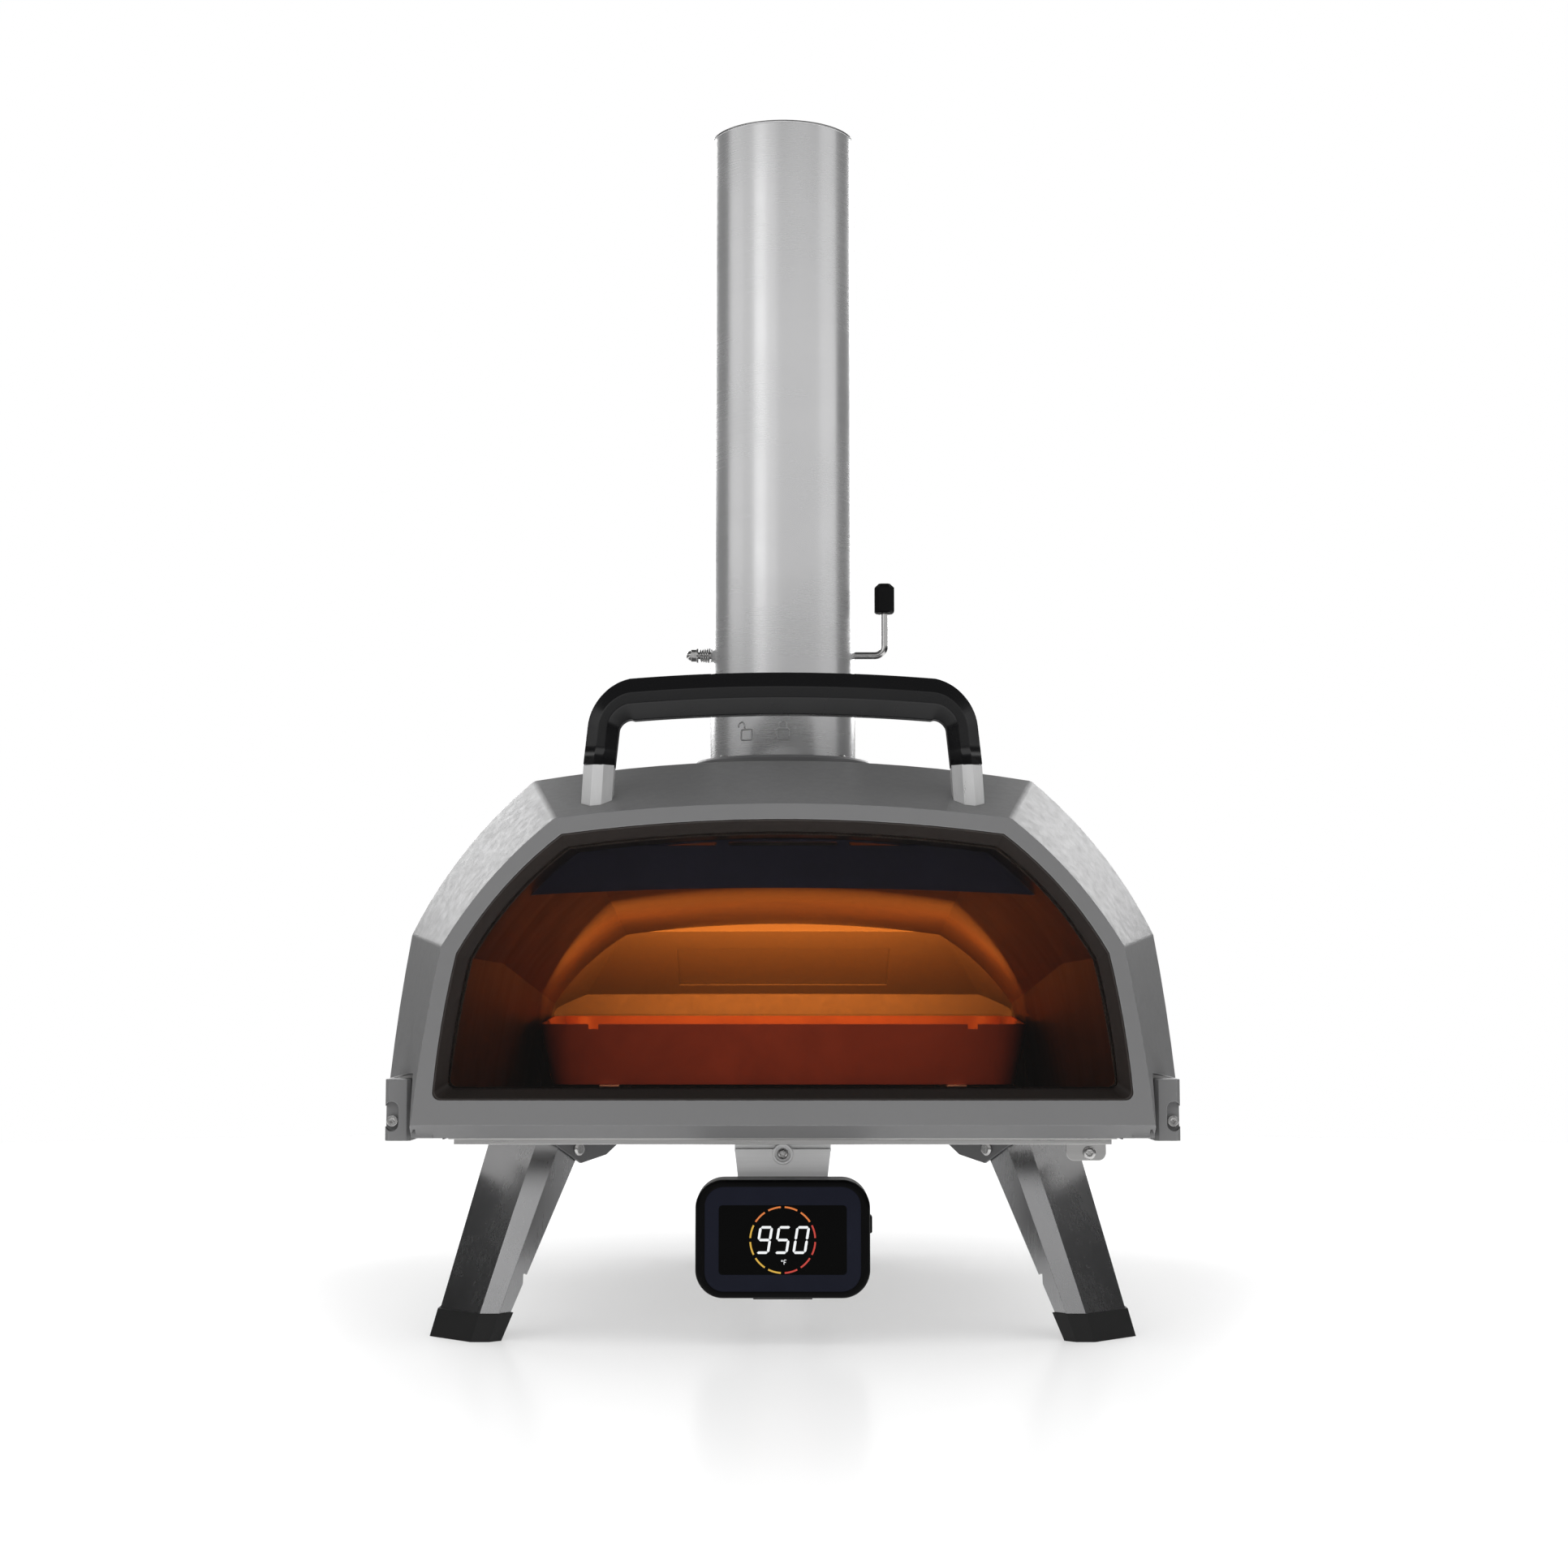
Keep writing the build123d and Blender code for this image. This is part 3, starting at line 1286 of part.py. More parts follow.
def panel_screws():
    """The screws round the rear panel and under the base."""
    parts = []
    ring = shell_rear_arch.inset(10)
    places = [(0, ring.crown), (ring.shoulder[0] - 12, ring.shoulder[1] - 1), (ring.elbow[0] - 6, ring.elbow[1] + 4),
              (ring.foot[0] - 2, base_z + 34)]
    for x, z in places:
        for side in ((-1, 1) if x else (1,)):
            parts.append(pan_head(side * x, body_rear, z, (0, 1, 0)))
    for x in (-1, 1):
        for y in (150, 300, 450, 600):
            parts.append(pan_head(x * (half_width - 24), y, base_z, (0, 0, -1), 4.0, 1.6))
    return parts


def collar_screws():
    parts = []
    for index in range(4):
        angle = radians(45 + 90 * index)
        reach = (collar_radius + flue_radius) / 2 + 0.3
        parts.append(pan_head(reach * cos(angle), flue_y + reach * sin(angle), collar_top_z, (0, 0, 1), 2.9, 1.2))
    return parts


# ---- The whole oven ----------------------------------------------------------------------
def nodes():
    made = {
        "outer_shell": outer_shell(),
        "base_tray": base_tray(),
        "inner_liner": inner_liner(),
        "insulation_blanket": insulation_blanket(),
        "front_frame": front_frame(),
        "rear_panel": rear_panel(),
        "rear_box": rear_box(),
        "hatch_pin": hatch_pin(),
        "door_seal": door_seal(),
        "front_sill": front_sill(),
        "baking_stone": baking_stone(),
        "floor_supports": floor_supports(),
        "flue_baffle": flue_baffle(),
        "hinge_block_right": hinge_block(),
        "hinge_block_left": mirror(hinge_block(), about=Plane.YZ),
        "hinge_pins": hinge_pins(),
        "hinge_screws": both_sides(hinge_block_screw()),
        "chimney_collar": chimney_collar(),
        "collar_screws": collar_screws(),
        "leg_brackets": leg_brackets(),
        "leg_bolts": leg_bolts(),
        "accessory_bracket": accessory_bracket(),
        "display_bracket": display_bracket(),
        "bracket_screws": bracket_screws(),
        "panel_screws": panel_screws(),
        "door_frame": door_frame(),
        "window_trim": window_trim(),
        "door_glass": door_glass(),
        "glass_gasket": glass_gasket(),
        "glass_retainer": glass_retainer(),
        "retainer_screws": retainer_screws(),
        "handle_posts": handle_posts(),
        "handle_grip": handle_grip(),
        "handle_screws": handle_screws(),
        "chimney_tube": chimney_tube(),
        "damper_rod": damper_rod(),
        "damper_plate": damper_plate(),
        "damper_knob": damper_knob(),
        "damper_nut": damper_nut(),
        "damper_spring": damper_spring(),
        "damper_screws": damper_screws(),
        "tray_pan": tray_pan(),
        "fuel_grate": fuel_grate(),
        "tray_face": tray_face(),
        "tray_handle": tray_handle(),
        "vent_slide": vent_slide(),
        "hatch_door": hatch_door(),
        "hatch_handle": hatch_handle(),
        "display_housing": display_housing(),
        "display_panel": display_panel(),
        "display_screen": display_screen(),
        "display_back_cover": display_back_cover(),
        "display_ports": display_ports(),
        "display_button": display_button(),
    }
    for name in leg_names:
        made[f"leg_{name}"] = place_leg(leg_channel(), name)
        made[f"foot_{name}"] = place_leg(leg_foot(), name)
    return made


def main():
    os.makedirs("parts", exist_ok=True)
    for name, shape in nodes().items():
        solids = shape if isinstance(shape, list) else [shape]
        placed = [Pos(0, -origin_y, 0) * solid for solid in solids]
        whole = placed[0] if len(placed) == 1 else Compound(children=placed)
        export_step(whole, f"parts/{name}.step")


if __name__ == "__main__":
    main()
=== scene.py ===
"""The looks of a portable wood-fired oven: finishes, small pieces, floor, lights and camera."""

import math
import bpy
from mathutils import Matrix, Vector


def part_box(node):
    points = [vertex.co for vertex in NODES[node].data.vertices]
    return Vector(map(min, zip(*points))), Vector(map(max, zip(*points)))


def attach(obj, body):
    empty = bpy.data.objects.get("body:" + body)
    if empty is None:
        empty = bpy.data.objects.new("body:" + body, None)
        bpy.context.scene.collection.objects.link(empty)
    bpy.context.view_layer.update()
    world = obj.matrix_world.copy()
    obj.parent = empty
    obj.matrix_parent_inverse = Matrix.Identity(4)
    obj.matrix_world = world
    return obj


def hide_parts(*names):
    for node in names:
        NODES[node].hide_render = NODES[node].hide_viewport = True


bl_info = {
    "name": "Portable Pizza Oven",
    "version": (1, 0, 0),
    "blender": (4, 5, 0),
    "location": "View3D > Sidebar > Pizza Oven",
    "description": "Finishes and details for a portable wood-fired pizza oven",
    "category": "Object",
}

import bmesh
import bpy
from bpy.props import FloatProperty, FloatVectorProperty, IntProperty, PointerProperty, StringProperty
from mathutils import Matrix, Vector

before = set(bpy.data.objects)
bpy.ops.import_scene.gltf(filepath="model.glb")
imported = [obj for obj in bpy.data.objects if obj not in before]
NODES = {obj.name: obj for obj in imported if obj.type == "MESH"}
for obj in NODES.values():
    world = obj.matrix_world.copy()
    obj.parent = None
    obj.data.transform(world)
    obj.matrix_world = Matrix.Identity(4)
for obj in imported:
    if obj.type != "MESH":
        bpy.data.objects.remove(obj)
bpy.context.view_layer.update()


def length(name, description, default):
    """A size in metres that a user can change."""
    return FloatProperty(name=name, description=description, default=default, min=0.0,
                         unit="LENGTH", subtype="DISTANCE", precision=4)


def colour(name, description, default):
    """A colour that a user can change."""
    return FloatVectorProperty(name=name, description=description, default=default, size=3,
                               min=0.0, max=1.0, subtype="COLOR")


def amount(name, description, default, top=10.0):
    """A plain number that a user can change."""
    return FloatProperty(name=name, description=description, default=default, min=0.0, max=top)


# ---- Settings ----------------------------------------------------------------------------
class OvenFinishes(bpy.types.PropertyGroup):
    """Colours and surface detail of the oven's finishes."""
    cowl: colour("Cowl", "Powder coat on the door", (0.200, 0.200, 0.202))
    shell: colour("Shell", "Powder coat on the body", (0.150, 0.150, 0.153))
    flue: colour("Flue", "Brushed stainless pipe", (0.620, 0.620, 0.625))
    sheet_steel: colour("Sheet steel", "Brushed stainless sheet", (0.560, 0.555, 0.550))
    legs: colour("Legs", "Brushed stainless legs", (0.400, 0.400, 0.405))
    grips: colour("Grips", "Moulded black grips", (0.010, 0.010, 0.011))
    rubber: colour("Feet", "Rubber of the feet", (0.008, 0.008, 0.008))
    bezel: colour("Bezel", "Dark frame round the glass", (0.040, 0.033, 0.030))
    glass: colour("Glass", "Smoky tint of the door glass", (0.780, 0.700, 0.640))
    stone: colour("Stone", "Baking stone", (0.560, 0.480, 0.380))
    tray: colour("Fuel tray", "Heat-worn tray", (0.300, 0.100, 0.060))
    liner: colour("Chamber", "Heat-tinted liner", (0.030, 0.020, 0.018))
    baffle: colour("Baffle", "Blue-black hanging plate", (0.022, 0.030, 0.095))
    case: colour("Display case", "Black display case", (0.0012, 0.0012, 0.0014))
    panel: colour("Display glass", "Dark glass round the screen", (0.0085, 0.0095, 0.0170))
    edge_softness: length("Edge softness", "Rounding of folded and cast edges", 0.0009)
    # How far edges are lightened: partly rubbed wear, partly a painted highlight along the edges.
    edge_wear_and_highlight: amount("Wear", "How far edges are rubbed bright", 0.35, 1.0)


class OvenGrip(bpy.types.PropertyGroup):
    """The door handle's swept bar."""
    width: length("Width", "Front to back", 0.0260)
    height: length("Height", "Across an arm", 0.0206)
    swell: amount("Swell", "Height of the bar as a share of an arm's", 1.335, 3.0)
    facet: length("Facet", "Size of the cut corners", 0.0074)
    softness: length("Softness", "Rounding between the facets", 0.0012)
    rise: length("Rise", "How far the middle stands above the ends", 0.0040)
    bend: length("Bend", "Size of the two bends", 0.0188)
    lean: length("Lean", "How far each arm leans in", 0.0026)


class OvenScrews(bpy.types.PropertyGroup):
    """The round screw heads on the body."""
    recess: amount("Recess", "Recess width as a share of the head", 0.46, 1.0)
    lobes: amount("Lobes", "Depth of the drive's six lobes", 0.16, 0.5)
    sides: IntProperty(name="Sides", description="Corners round a head", default=48, min=12, max=96)


class OvenReadout(bpy.types.PropertyGroup):
    """The lit temperature display."""
    reading: StringProperty(name="Reading", description="Digits shown", default="950")
    digit_height: length("Digit height", "Height of a digit", 0.0176)
    digit_width: length("Digit width", "Width of a digit", 0.0088)
    digit_pitch: length("Digit pitch", "From one digit to the next", 0.0118)
    stroke: length("Stroke", "Width of a lit bar", 0.0016)
    slant: amount("Slant", "Lean of the digits", 0.16, 1.0)
    ring_radius: length("Ring radius", "Middle of the lit ring", 0.0208)
    ring_width: length("Ring width", "Width of the lit ring", 0.0011)
    segments: IntProperty(name="Segments", description="Pieces in the ring", default=12, min=3, max=36)
    ring_gap: amount("Ring gap", "Gap between segments in degrees", 7.0, 30.0)
    centre_drop: length("Centre drop", "Middle of the ring below the top of the screen", 0.0220)
    brightness: amount("Brightness", "Strength of the lit parts", 0.72)


class OvenStage(bpy.types.PropertyGroup):
    """Floor, lights and camera."""
    lens: amount("Lens", "Focal length in millimetres", 57.5, 500.0)
    distance: length("Distance", "Camera to the door's face", 1.600)
    height: length("Height", "Camera above the floor", 0.2136)
    tilt: amount("Tilt", "Camera tilt upwards in degrees", 5.15, 45.0)
    backdrop: amount("Backdrop", "Brightness of the backdrop", 1.0)
    fill: amount("Fill", "Brightness of the soft fill", 1.00)
    shine: amount("Shine", "Brightness of the room that glossy surfaces mirror", 0.10)
    key: amount("Key", "Brightness of the ring of front panels", 1.0)
    back: amount("Back", "Rear softbox brightness", 7.0, 50.0)
    glow: amount("Glow", "Brightness of the fire's light in the chamber", 0.6, 100.0)


# ---- Node and mesh helpers ---------------------------------------------------------------
def settings(context):
    return context.scene.oven_finishes


def rgba(value):
    return (value[0], value[1], value[2], 1.0)


class Shader:
    """A material under construction, with short calls for the nodes that finishes share."""

    def __init__(self, name):
        self.material = bpy.data.materials.new(name)
        self.material.use_nodes = True
        self.nodes = self.material.node_tree.nodes
        self.links = self.material.node_tree.links
        self.surface = self.nodes["Principled BSDF"]
        self.object_space = self.nodes.new("ShaderNodeTexCoord").outputs["Object"]

    def put(self, socket, value):
        """Link an output into an input, or set the input to a value."""
        if isinstance(value, bpy.types.NodeSocket):
            self.links.new(value, socket)
        else:
            socket.default_value = value

    def set(self, **values):
        """Set the surface's inputs by name, with underscores for spaces."""
        for name, value in values.items():
            self.put(self.surface.inputs[name.replace("_", " ")], value)

    def stretched(self, scale):
        """Object coordinates stretched along each axis."""
        mapping = self.nodes.new("ShaderNodeMapping")
        mapping.inputs["Scale"].default_value = scale
        self.links.new(self.object_space, mapping.inputs["Vector"])
        return mapping.outputs["Vector"]

    def noise(self, scale, detail=3.0, roughness=0.5, vector=None, distortion=0.0):
        node = self.nodes.new("ShaderNodeTexNoise")
        node.inputs["Scale"].default_value = scale
        node.inputs["Detail"].default_value = detail
        node.inputs["Roughness"].default_value = roughness
        node.inputs["Distortion"].default_value = distortion
        self.links.new(self.object_space if vector is None else vector, node.inputs["Vector"])
        return node.outputs["Fac"]

    def cells(self, scale, feature="F1", randomness=1.0):
        node = self.nodes.new("ShaderNodeTexVoronoi")
        node.feature = feature
        node.inputs["Scale"].default_value = scale
        node.inputs["Randomness"].default_value = randomness
        self.links.new(self.object_space, node.inputs["Vector"])
        return node.outputs["Distance"]

    def span(self, value, low, high, from_low=0.0, from_high=1.0):
        """Map a value from one range into another."""
        node = self.nodes.new("ShaderNodeMapRange")
        node.inputs["From Min"].default_value = from_low
        node.inputs["From Max"].default_value = from_high
        node.inputs["To Min"].default_value = low
        node.inputs["To Max"].default_value = high
        self.links.new(value, node.inputs["Value"])
        return node.outputs["Result"]

    def maths(self, operation, first, second=0.0):
        node = self.nodes.new("ShaderNodeMath")
        node.operation = operation
        self.put(node.inputs[0], first)
        self.put(node.inputs[1], second)
        return node.outputs["Value"]

    def blend(self, share, first, second, mode="MIX"):
        """Mix two colours by a share."""
        node = self.nodes.new("ShaderNodeMix")
        node.data_type = "RGBA"
        node.blend_type = mode
        self.put(node.inputs["Factor"], share)
        self.put(node.inputs["A"], first)
        self.put(node.inputs["B"], second)
        return node.outputs["Result"]

    def soft_edges(self, radius):
        """Normals that turn smoothly over hard edges."""
        node = self.nodes.new("ShaderNodeBevel")
        node.samples = 6
        node.inputs["Radius"].default_value = radius
        return node.outputs["Normal"]

    def edge_mask(self, normal):
        """One on rounded edges, nought on open surfaces."""
        true_normal = self.nodes.new("ShaderNodeNewGeometry").outputs["Normal"]
        dot = self.nodes.new("ShaderNodeVectorMath")
        dot.operation = "DOT_PRODUCT"
        self.links.new(normal, dot.inputs[0])
        self.links.new(true_normal, dot.inputs[1])
        return self.span(dot.outputs["Value"], 1.0, 0.0, 0.90, 0.995)

    def bump(self, height, strength, distance, normal=None):
        node = self.nodes.new("ShaderNodeBump")
        node.inputs["Strength"].default_value = strength
        node.inputs["Distance"].default_value = distance
        self.links.new(height, node.inputs["Height"])
        if normal is not None:
            self.links.new(normal, node.inputs["Normal"])
        return node.outputs["Normal"]


def scaled(value, factor):
    return rgba([min(1.0, part * factor) for part in value])


def finish_nodes(material, *names):
    """Give CAD nodes a material in every slot."""
    for name in names:
        for slot in NODES[name].material_slots:
            slot.material = material


def new_piece(name, mesh, body):
    """Put a finished mesh in the scene, riding on a body."""
    piece = bpy.data.objects.new(name, mesh)
    bpy.context.scene.collection.objects.link(piece)
    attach(piece, body)
    return piece


# ---- Finishes ----------------------------------------------------------------------------
def powder_coat(name, base, finishes, roughness=0.44, metallic=0.35):
    """Satin powder coat: fine pebble, slight mottling, and edges lightened a little, partly rubbed wear and
    partly a painted highlight.
    """
    shader = Shader(name)
    mottle = shader.noise(7.0, 4.0)
    pebble = shader.noise(2600.0, 2.0, 0.6)
    dust = shader.noise(160.0, 5.0, 0.7)
    normal = shader.soft_edges(finishes.edge_softness)
    # Edges lightened from here on: partly rubbed wear, partly a painted highlight where edges would catch the
    # light.
    worn = shader.maths("MULTIPLY", shader.edge_mask(normal), shader.span(dust, 0.2, 1.0, 0.4, 0.6))
    tone = shader.blend(mottle, scaled(base, 0.93), scaled(base, 1.07))
    tone = shader.blend(shader.span(pebble, 0.0, 0.25), tone, scaled(base, 0.8))
    tone = shader.blend(shader.maths("MULTIPLY", worn, finishes.edge_wear_and_highlight), tone, scaled(base, 2.4))
    rough = shader.span(dust, roughness - 0.05, roughness + 0.06, 0.3, 0.7)
    shader.set(Base_Color=tone, Metallic=metallic, Roughness=rough,
               Normal=shader.bump(pebble, 0.10, 0.00012, normal))
    return shader.material


def brushed_metal(name, base, finishes, grain, roughness=0.28, depth=0.16, contrast=0.09, metallic=1.0):
    """Brushed metal, with its scratches along the axis that grain stretches least."""
    shader = Shader(name)
    lines = shader.noise(1.0, 4.0, 0.65, shader.stretched(grain))
    broad = shader.noise(1.0, 2.0, 0.5, shader.stretched([part * 0.12 for part in grain]))
    smudge = shader.noise(14.0, 4.0)
    normal = shader.soft_edges(finishes.edge_softness * 0.7)
    dark = scaled(base, 1 - contrast)
    tone = shader.blend(shader.span(lines, 0.0, 1.0, 0.3, 0.7), dark, scaled(base, 1 + contrast))
    tone = shader.blend(shader.span(broad, 0.0, 4 * contrast, 0.35, 0.65), tone, dark)
    # Edges lightened: partly rubbed wear, partly a painted highlight along the edges.
    worn = shader.maths("MULTIPLY", shader.edge_mask(normal), finishes.edge_wear_and_highlight)
    tone = shader.blend(worn, tone, scaled(base, 1.5))
    scratched = shader.span(lines, roughness - 0.8 * contrast, roughness + 0.9 * contrast, 0.3, 0.7)
    rough = shader.maths("ADD", scratched, shader.span(smudge, -0.03, 0.05, 0.3, 0.7))
    shader.set(Base_Color=tone, Metallic=metallic, Roughness=rough,
               Normal=shader.bump(lines, depth, 0.00006, normal))
    return shader.material


def moulded(name, base, roughness=0.40, grain=1800.0, depth=0.12, softness=0.0006, specular=0.4):
    """Moulded plastic or rubber with a fine spark-eroded grain."""
    shader = Shader(name)
    pits = shader.cells(grain)
    haze = shader.noise(22.0, 4.0)
    normal = shader.soft_edges(softness)
    tone = shader.blend(haze, scaled(base, 0.85), scaled(base, 1.2))
    # Edges lightened: a painted highlight along the moulding's edges.
    tone = shader.blend(shader.maths("MULTIPLY", shader.edge_mask(normal), 0.4), tone, scaled(base, 2.5))
    rough = shader.span(haze, roughness - 0.06, roughness + 0.08, 0.3, 0.7)
    shader.set(Base_Color=tone, Roughness=rough, Specular_IOR_Level=specular,
               Normal=shader.bump(pits, depth, 0.00008, normal))
    return shader.material


def heat_tinted(name, base, finishes, tint, roughness=0.45, metallic=0.6):
    """Steel or enamel that has seen fire: blotches, soot and streaks that run upwards."""
    shader = Shader(name)
    blotch = shader.noise(9.0, 6.0, 0.6, distortion=0.6)
    streak = shader.noise(1.0, 4.0, 0.6, shader.stretched((26.0, 26.0, 9.0)))
    grit = shader.noise(900.0, 3.0)
    normal = shader.soft_edges(finishes.edge_softness)
    tone = shader.blend(shader.span(blotch, 0.0, 1.0, 0.35, 0.68), rgba(base), rgba(tint))
    tone = shader.blend(shader.span(streak, 0.0, 0.15, 0.45, 0.8), tone, scaled(base, 0.35))
    rough = shader.span(streak, roughness - 0.02, roughness + 0.04, 0.3, 0.7)
    shader.set(Base_Color=tone, Metallic=metallic, Roughness=rough,
               Normal=shader.bump(grit, 0.15, 0.0001, normal))
    return shader.material


def smoked_glass(name, tint):
    """Clear ceramic glass with a smoky tint and a trace of smears."""
    shader = Shader(name)
    smear = shader.noise(11.0, 5.0, 0.6, distortion=1.2)
    shader.set(Base_Color=rgba(tint), Roughness=shader.span(smear, 0.0, 0.05, 0.45, 0.8),
               IOR=1.47, Transmission_Weight=1.0,
               Normal=shader.bump(shader.noise(3.0), 0.03, 0.0004))
    return shader.material


def fired_stone(name, base):
    """Cordierite: sandy speckle, pores and faint scorch marks."""
    shader = Shader(name)
    sand = shader.noise(700.0, 4.0, 0.7)
    pores = shader.cells(420.0)
    scorch = shader.noise(6.0, 5.0, 0.6)
    tone = shader.blend(shader.span(sand, 0.0, 1.0, 0.3, 0.7), scaled(base, 0.75), scaled(base, 1.15))
    tone = shader.blend(shader.span(scorch, 0.0, 0.6, 0.55, 0.8), tone, scaled(base, 0.28))
    holes = shader.span(pores, 0.0, 1.0, 0.0, 0.35)
    shader.set(Base_Color=tone, Roughness=shader.span(sand, 0.8, 0.95),
               Normal=shader.bump(shader.maths("MULTIPLY", holes, sand), 0.35, 0.0004))
    return shader.material


def woven_rope(name, base):
    """Glass-fibre rope: a close diagonal weave."""
    shader = Shader(name)
    first = shader.nodes.new("ShaderNodeTexWave")
    first.bands_direction = "DIAGONAL"
    first.inputs["Scale"].default_value = 260.0
    first.inputs["Distortion"].default_value = 1.5
    shader.links.new(shader.object_space, first.inputs["Vector"])
    fibre = shader.noise(1500.0, 3.0)
    weave = shader.maths("MULTIPLY", first.outputs["Fac"], fibre)
    tone = shader.blend(weave, scaled(base, 0.45), scaled(base, 1.3))
    shader.set(Base_Color=tone, Roughness=shader.span(fibre, 0.8, 1.0),
               Sheen_Weight=0.3, Normal=shader.bump(weave, 0.6, 0.0006))
    return shader.material


def glossy_panel(name, base, roughness=0.16, specular=0.06):
    """Dark printed glass with the faintest orange peel."""
    shader = Shader(name)
    haze = shader.noise(40.0, 4.0)
    tone = shader.blend(haze, scaled(base, 0.8), scaled(base, 1.25))
    shader.set(Base_Color=tone, Roughness=shader.span(haze, roughness, roughness + 0.06),
               Specular_IOR_Level=specular,
               Normal=shader.bump(shader.noise(160.0), 0.02, 0.0001))
    return shader.material


def lit(name, base, strength):
    """A lit part of the screen, a little uneven like a backlight."""
    shader = Shader(name)
    uneven = shader.noise(300.0, 2.0)
    tone = shader.blend(uneven, scaled(base, 0.2), scaled(base, 0.3))
    shader.set(Base_Color=tone, Roughness=shader.span(uneven, 0.3, 0.4),
               Emission_Color=rgba(base), Emission_Strength=strength)
    return shader.material


class OVEN_OT_painted_metal(bpy.types.Operator):
    """Powder-coat the door, the body and the tail box"""
    bl_idname = "oven.painted_metal"
    bl_label = "Painted Metal"

    def execute(self, context):
        finishes = settings(context)
        cowl = powder_coat("cowl_powder_coat", finishes.cowl, finishes)
        finish_nodes(cowl, "door_frame", "hinge_block_left", "hinge_block_right")
        shell = powder_coat("shell_powder_coat", finishes.shell, finishes, 0.5, 0.3)
        finish_nodes(shell, "outer_shell", "rear_panel", "rear_box", "hatch_door", "tray_face",
                     "chimney_collar", "leg_brackets")
        bezel = powder_coat("bezel_coat", finishes.bezel, finishes, 0.38, 0.4)
        finish_nodes(bezel, "window_trim", "glass_retainer")
        return {"FINISHED"}


class OVEN_OT_brushed_steel(bpy.types.Operator):
    """Brush the flue, the legs, the sheet pieces and the fasteners"""
    bl_idname = "oven.brushed_steel"
    bl_label = "Brushed Steel"

    def execute(self, context):
        finishes = settings(context)
        flue = brushed_metal("flue_brushed_steel", finishes.flue, finishes, (12.0, 12.0, 900.0),
                             0.25, 0.015, 0.025, 0.75)
        finish_nodes(flue, "chimney_tube")
        legs = brushed_metal("leg_brushed_steel", finishes.legs, finishes, (420.0, 420.0, 14.0),
                             0.26, 0.010, 0.025)
        finish_nodes(legs, "leg_front_left", "leg_front_right", "leg_rear")
        sheet_steel = brushed_metal("sheet_brushed_steel", finishes.sheet_steel, finishes,
                                    (8.0, 500.0, 500.0), 0.30)
        finish_nodes(sheet_steel, "base_tray", "front_sill", "front_frame", "floor_supports",
                     "accessory_bracket", "vent_slide")
        # A lighter, less metallic copy of the sheet steel for the display bracket: painted brightness in
        # place of the reflection the bracket catches.
        hanger_painted_reflection = brushed_metal("hanger_steel", (0.86, 0.86, 0.86), finishes, (8.0, 400.0, 400.0),
                               0.34, 0.03, 0.03, 0.4)
        finish_nodes(hanger_painted_reflection, "display_bracket")
        bright = brushed_metal("bright_steel", finishes.sheet_steel, finishes, (600.0, 90.0, 90.0), 0.2, 0.08)
        finish_nodes(bright, "hatch_pin", "hinge_pins", "hinge_screws", "leg_bolts", "retainer_screws",
                     "handle_screws", "damper_nut", "damper_spring", "damper_screws", "damper_rod",
                     "damper_plate")
        posts = brushed_metal("post_cast_metal", (0.80, 0.80, 0.80), finishes, (180.0, 180.0, 40.0),
                              0.30, 0.05, 0.04, 0.7)
        finish_nodes(posts, "handle_posts")
        return {"FINISHED"}


class OVEN_OT_plastic_and_rubber(bpy.types.Operator):
    """Give the small grips, the feet and the display case their moulded grain"""
    bl_idname = "oven.plastic_and_rubber"
    bl_label = "Plastic and Rubber"

    def execute(self, context):
        finishes = settings(context)
        grips = moulded("grip_plastic", finishes.grips)
        finish_nodes(grips, "tray_handle", "hatch_handle")
        knob = moulded("knob_plastic", scaled(finishes.grips, 0.4), 0.5, specular=0.12)
        finish_nodes(knob, "damper_knob")
        rubber = moulded("foot_rubber", finishes.rubber, 0.62, 900.0, 0.25)
        finish_nodes(rubber, "foot_front_left", "foot_front_right", "foot_rear", "display_ports")
        case = moulded("display_case_plastic", finishes.case, 0.36, 2200.0, 0.10, 0.0008, 0.08)
        finish_nodes(case, "display_housing", "display_back_cover", "display_button")
        panel = glossy_panel("display_panel_glass", finishes.panel)
        finish_nodes(panel, "display_panel")
        screen = glossy_panel("display_screen_glass", (0.0015, 0.0015, 0.0015), 0.12, 0.04)
        finish_nodes(screen, "display_screen")
        return {"FINISHED"}


class OVEN_OT_chamber(bpy.types.Operator):
    """Finish the glass, the stone, the seals and everything that has seen fire"""
    bl_idname = "oven.chamber"
    bl_label = "Chamber"

    def execute(self, context):
        finishes = settings(context)
        finish_nodes(smoked_glass("smoked_glass", finishes.glass), "door_glass")
        finish_nodes(fired_stone("fired_stone", finishes.stone), "baking_stone")
        liner = heat_tinted("chamber_steel", finishes.liner, finishes, (0.018, 0.016, 0.026), 0.5, 0.3)
        finish_nodes(liner, "inner_liner")
        baffle = heat_tinted("baffle_steel", finishes.baffle, finishes, (0.016, 0.022, 0.075), 0.45, 0.1)
        finish_nodes(baffle, "flue_baffle")
        tray = heat_tinted("tray_enamel", finishes.tray, finishes, (0.20, 0.065, 0.04), 0.5, 0.1)
        finish_nodes(tray, "tray_pan", "fuel_grate")
        finish_nodes(woven_rope("seal_rope", (0.16, 0.15, 0.14)), "door_seal", "glass_gasket")
        finish_nodes(woven_rope("wool_blanket", (0.75, 0.74, 0.70)), "insulation_blanket")
        return {"FINISHED"}


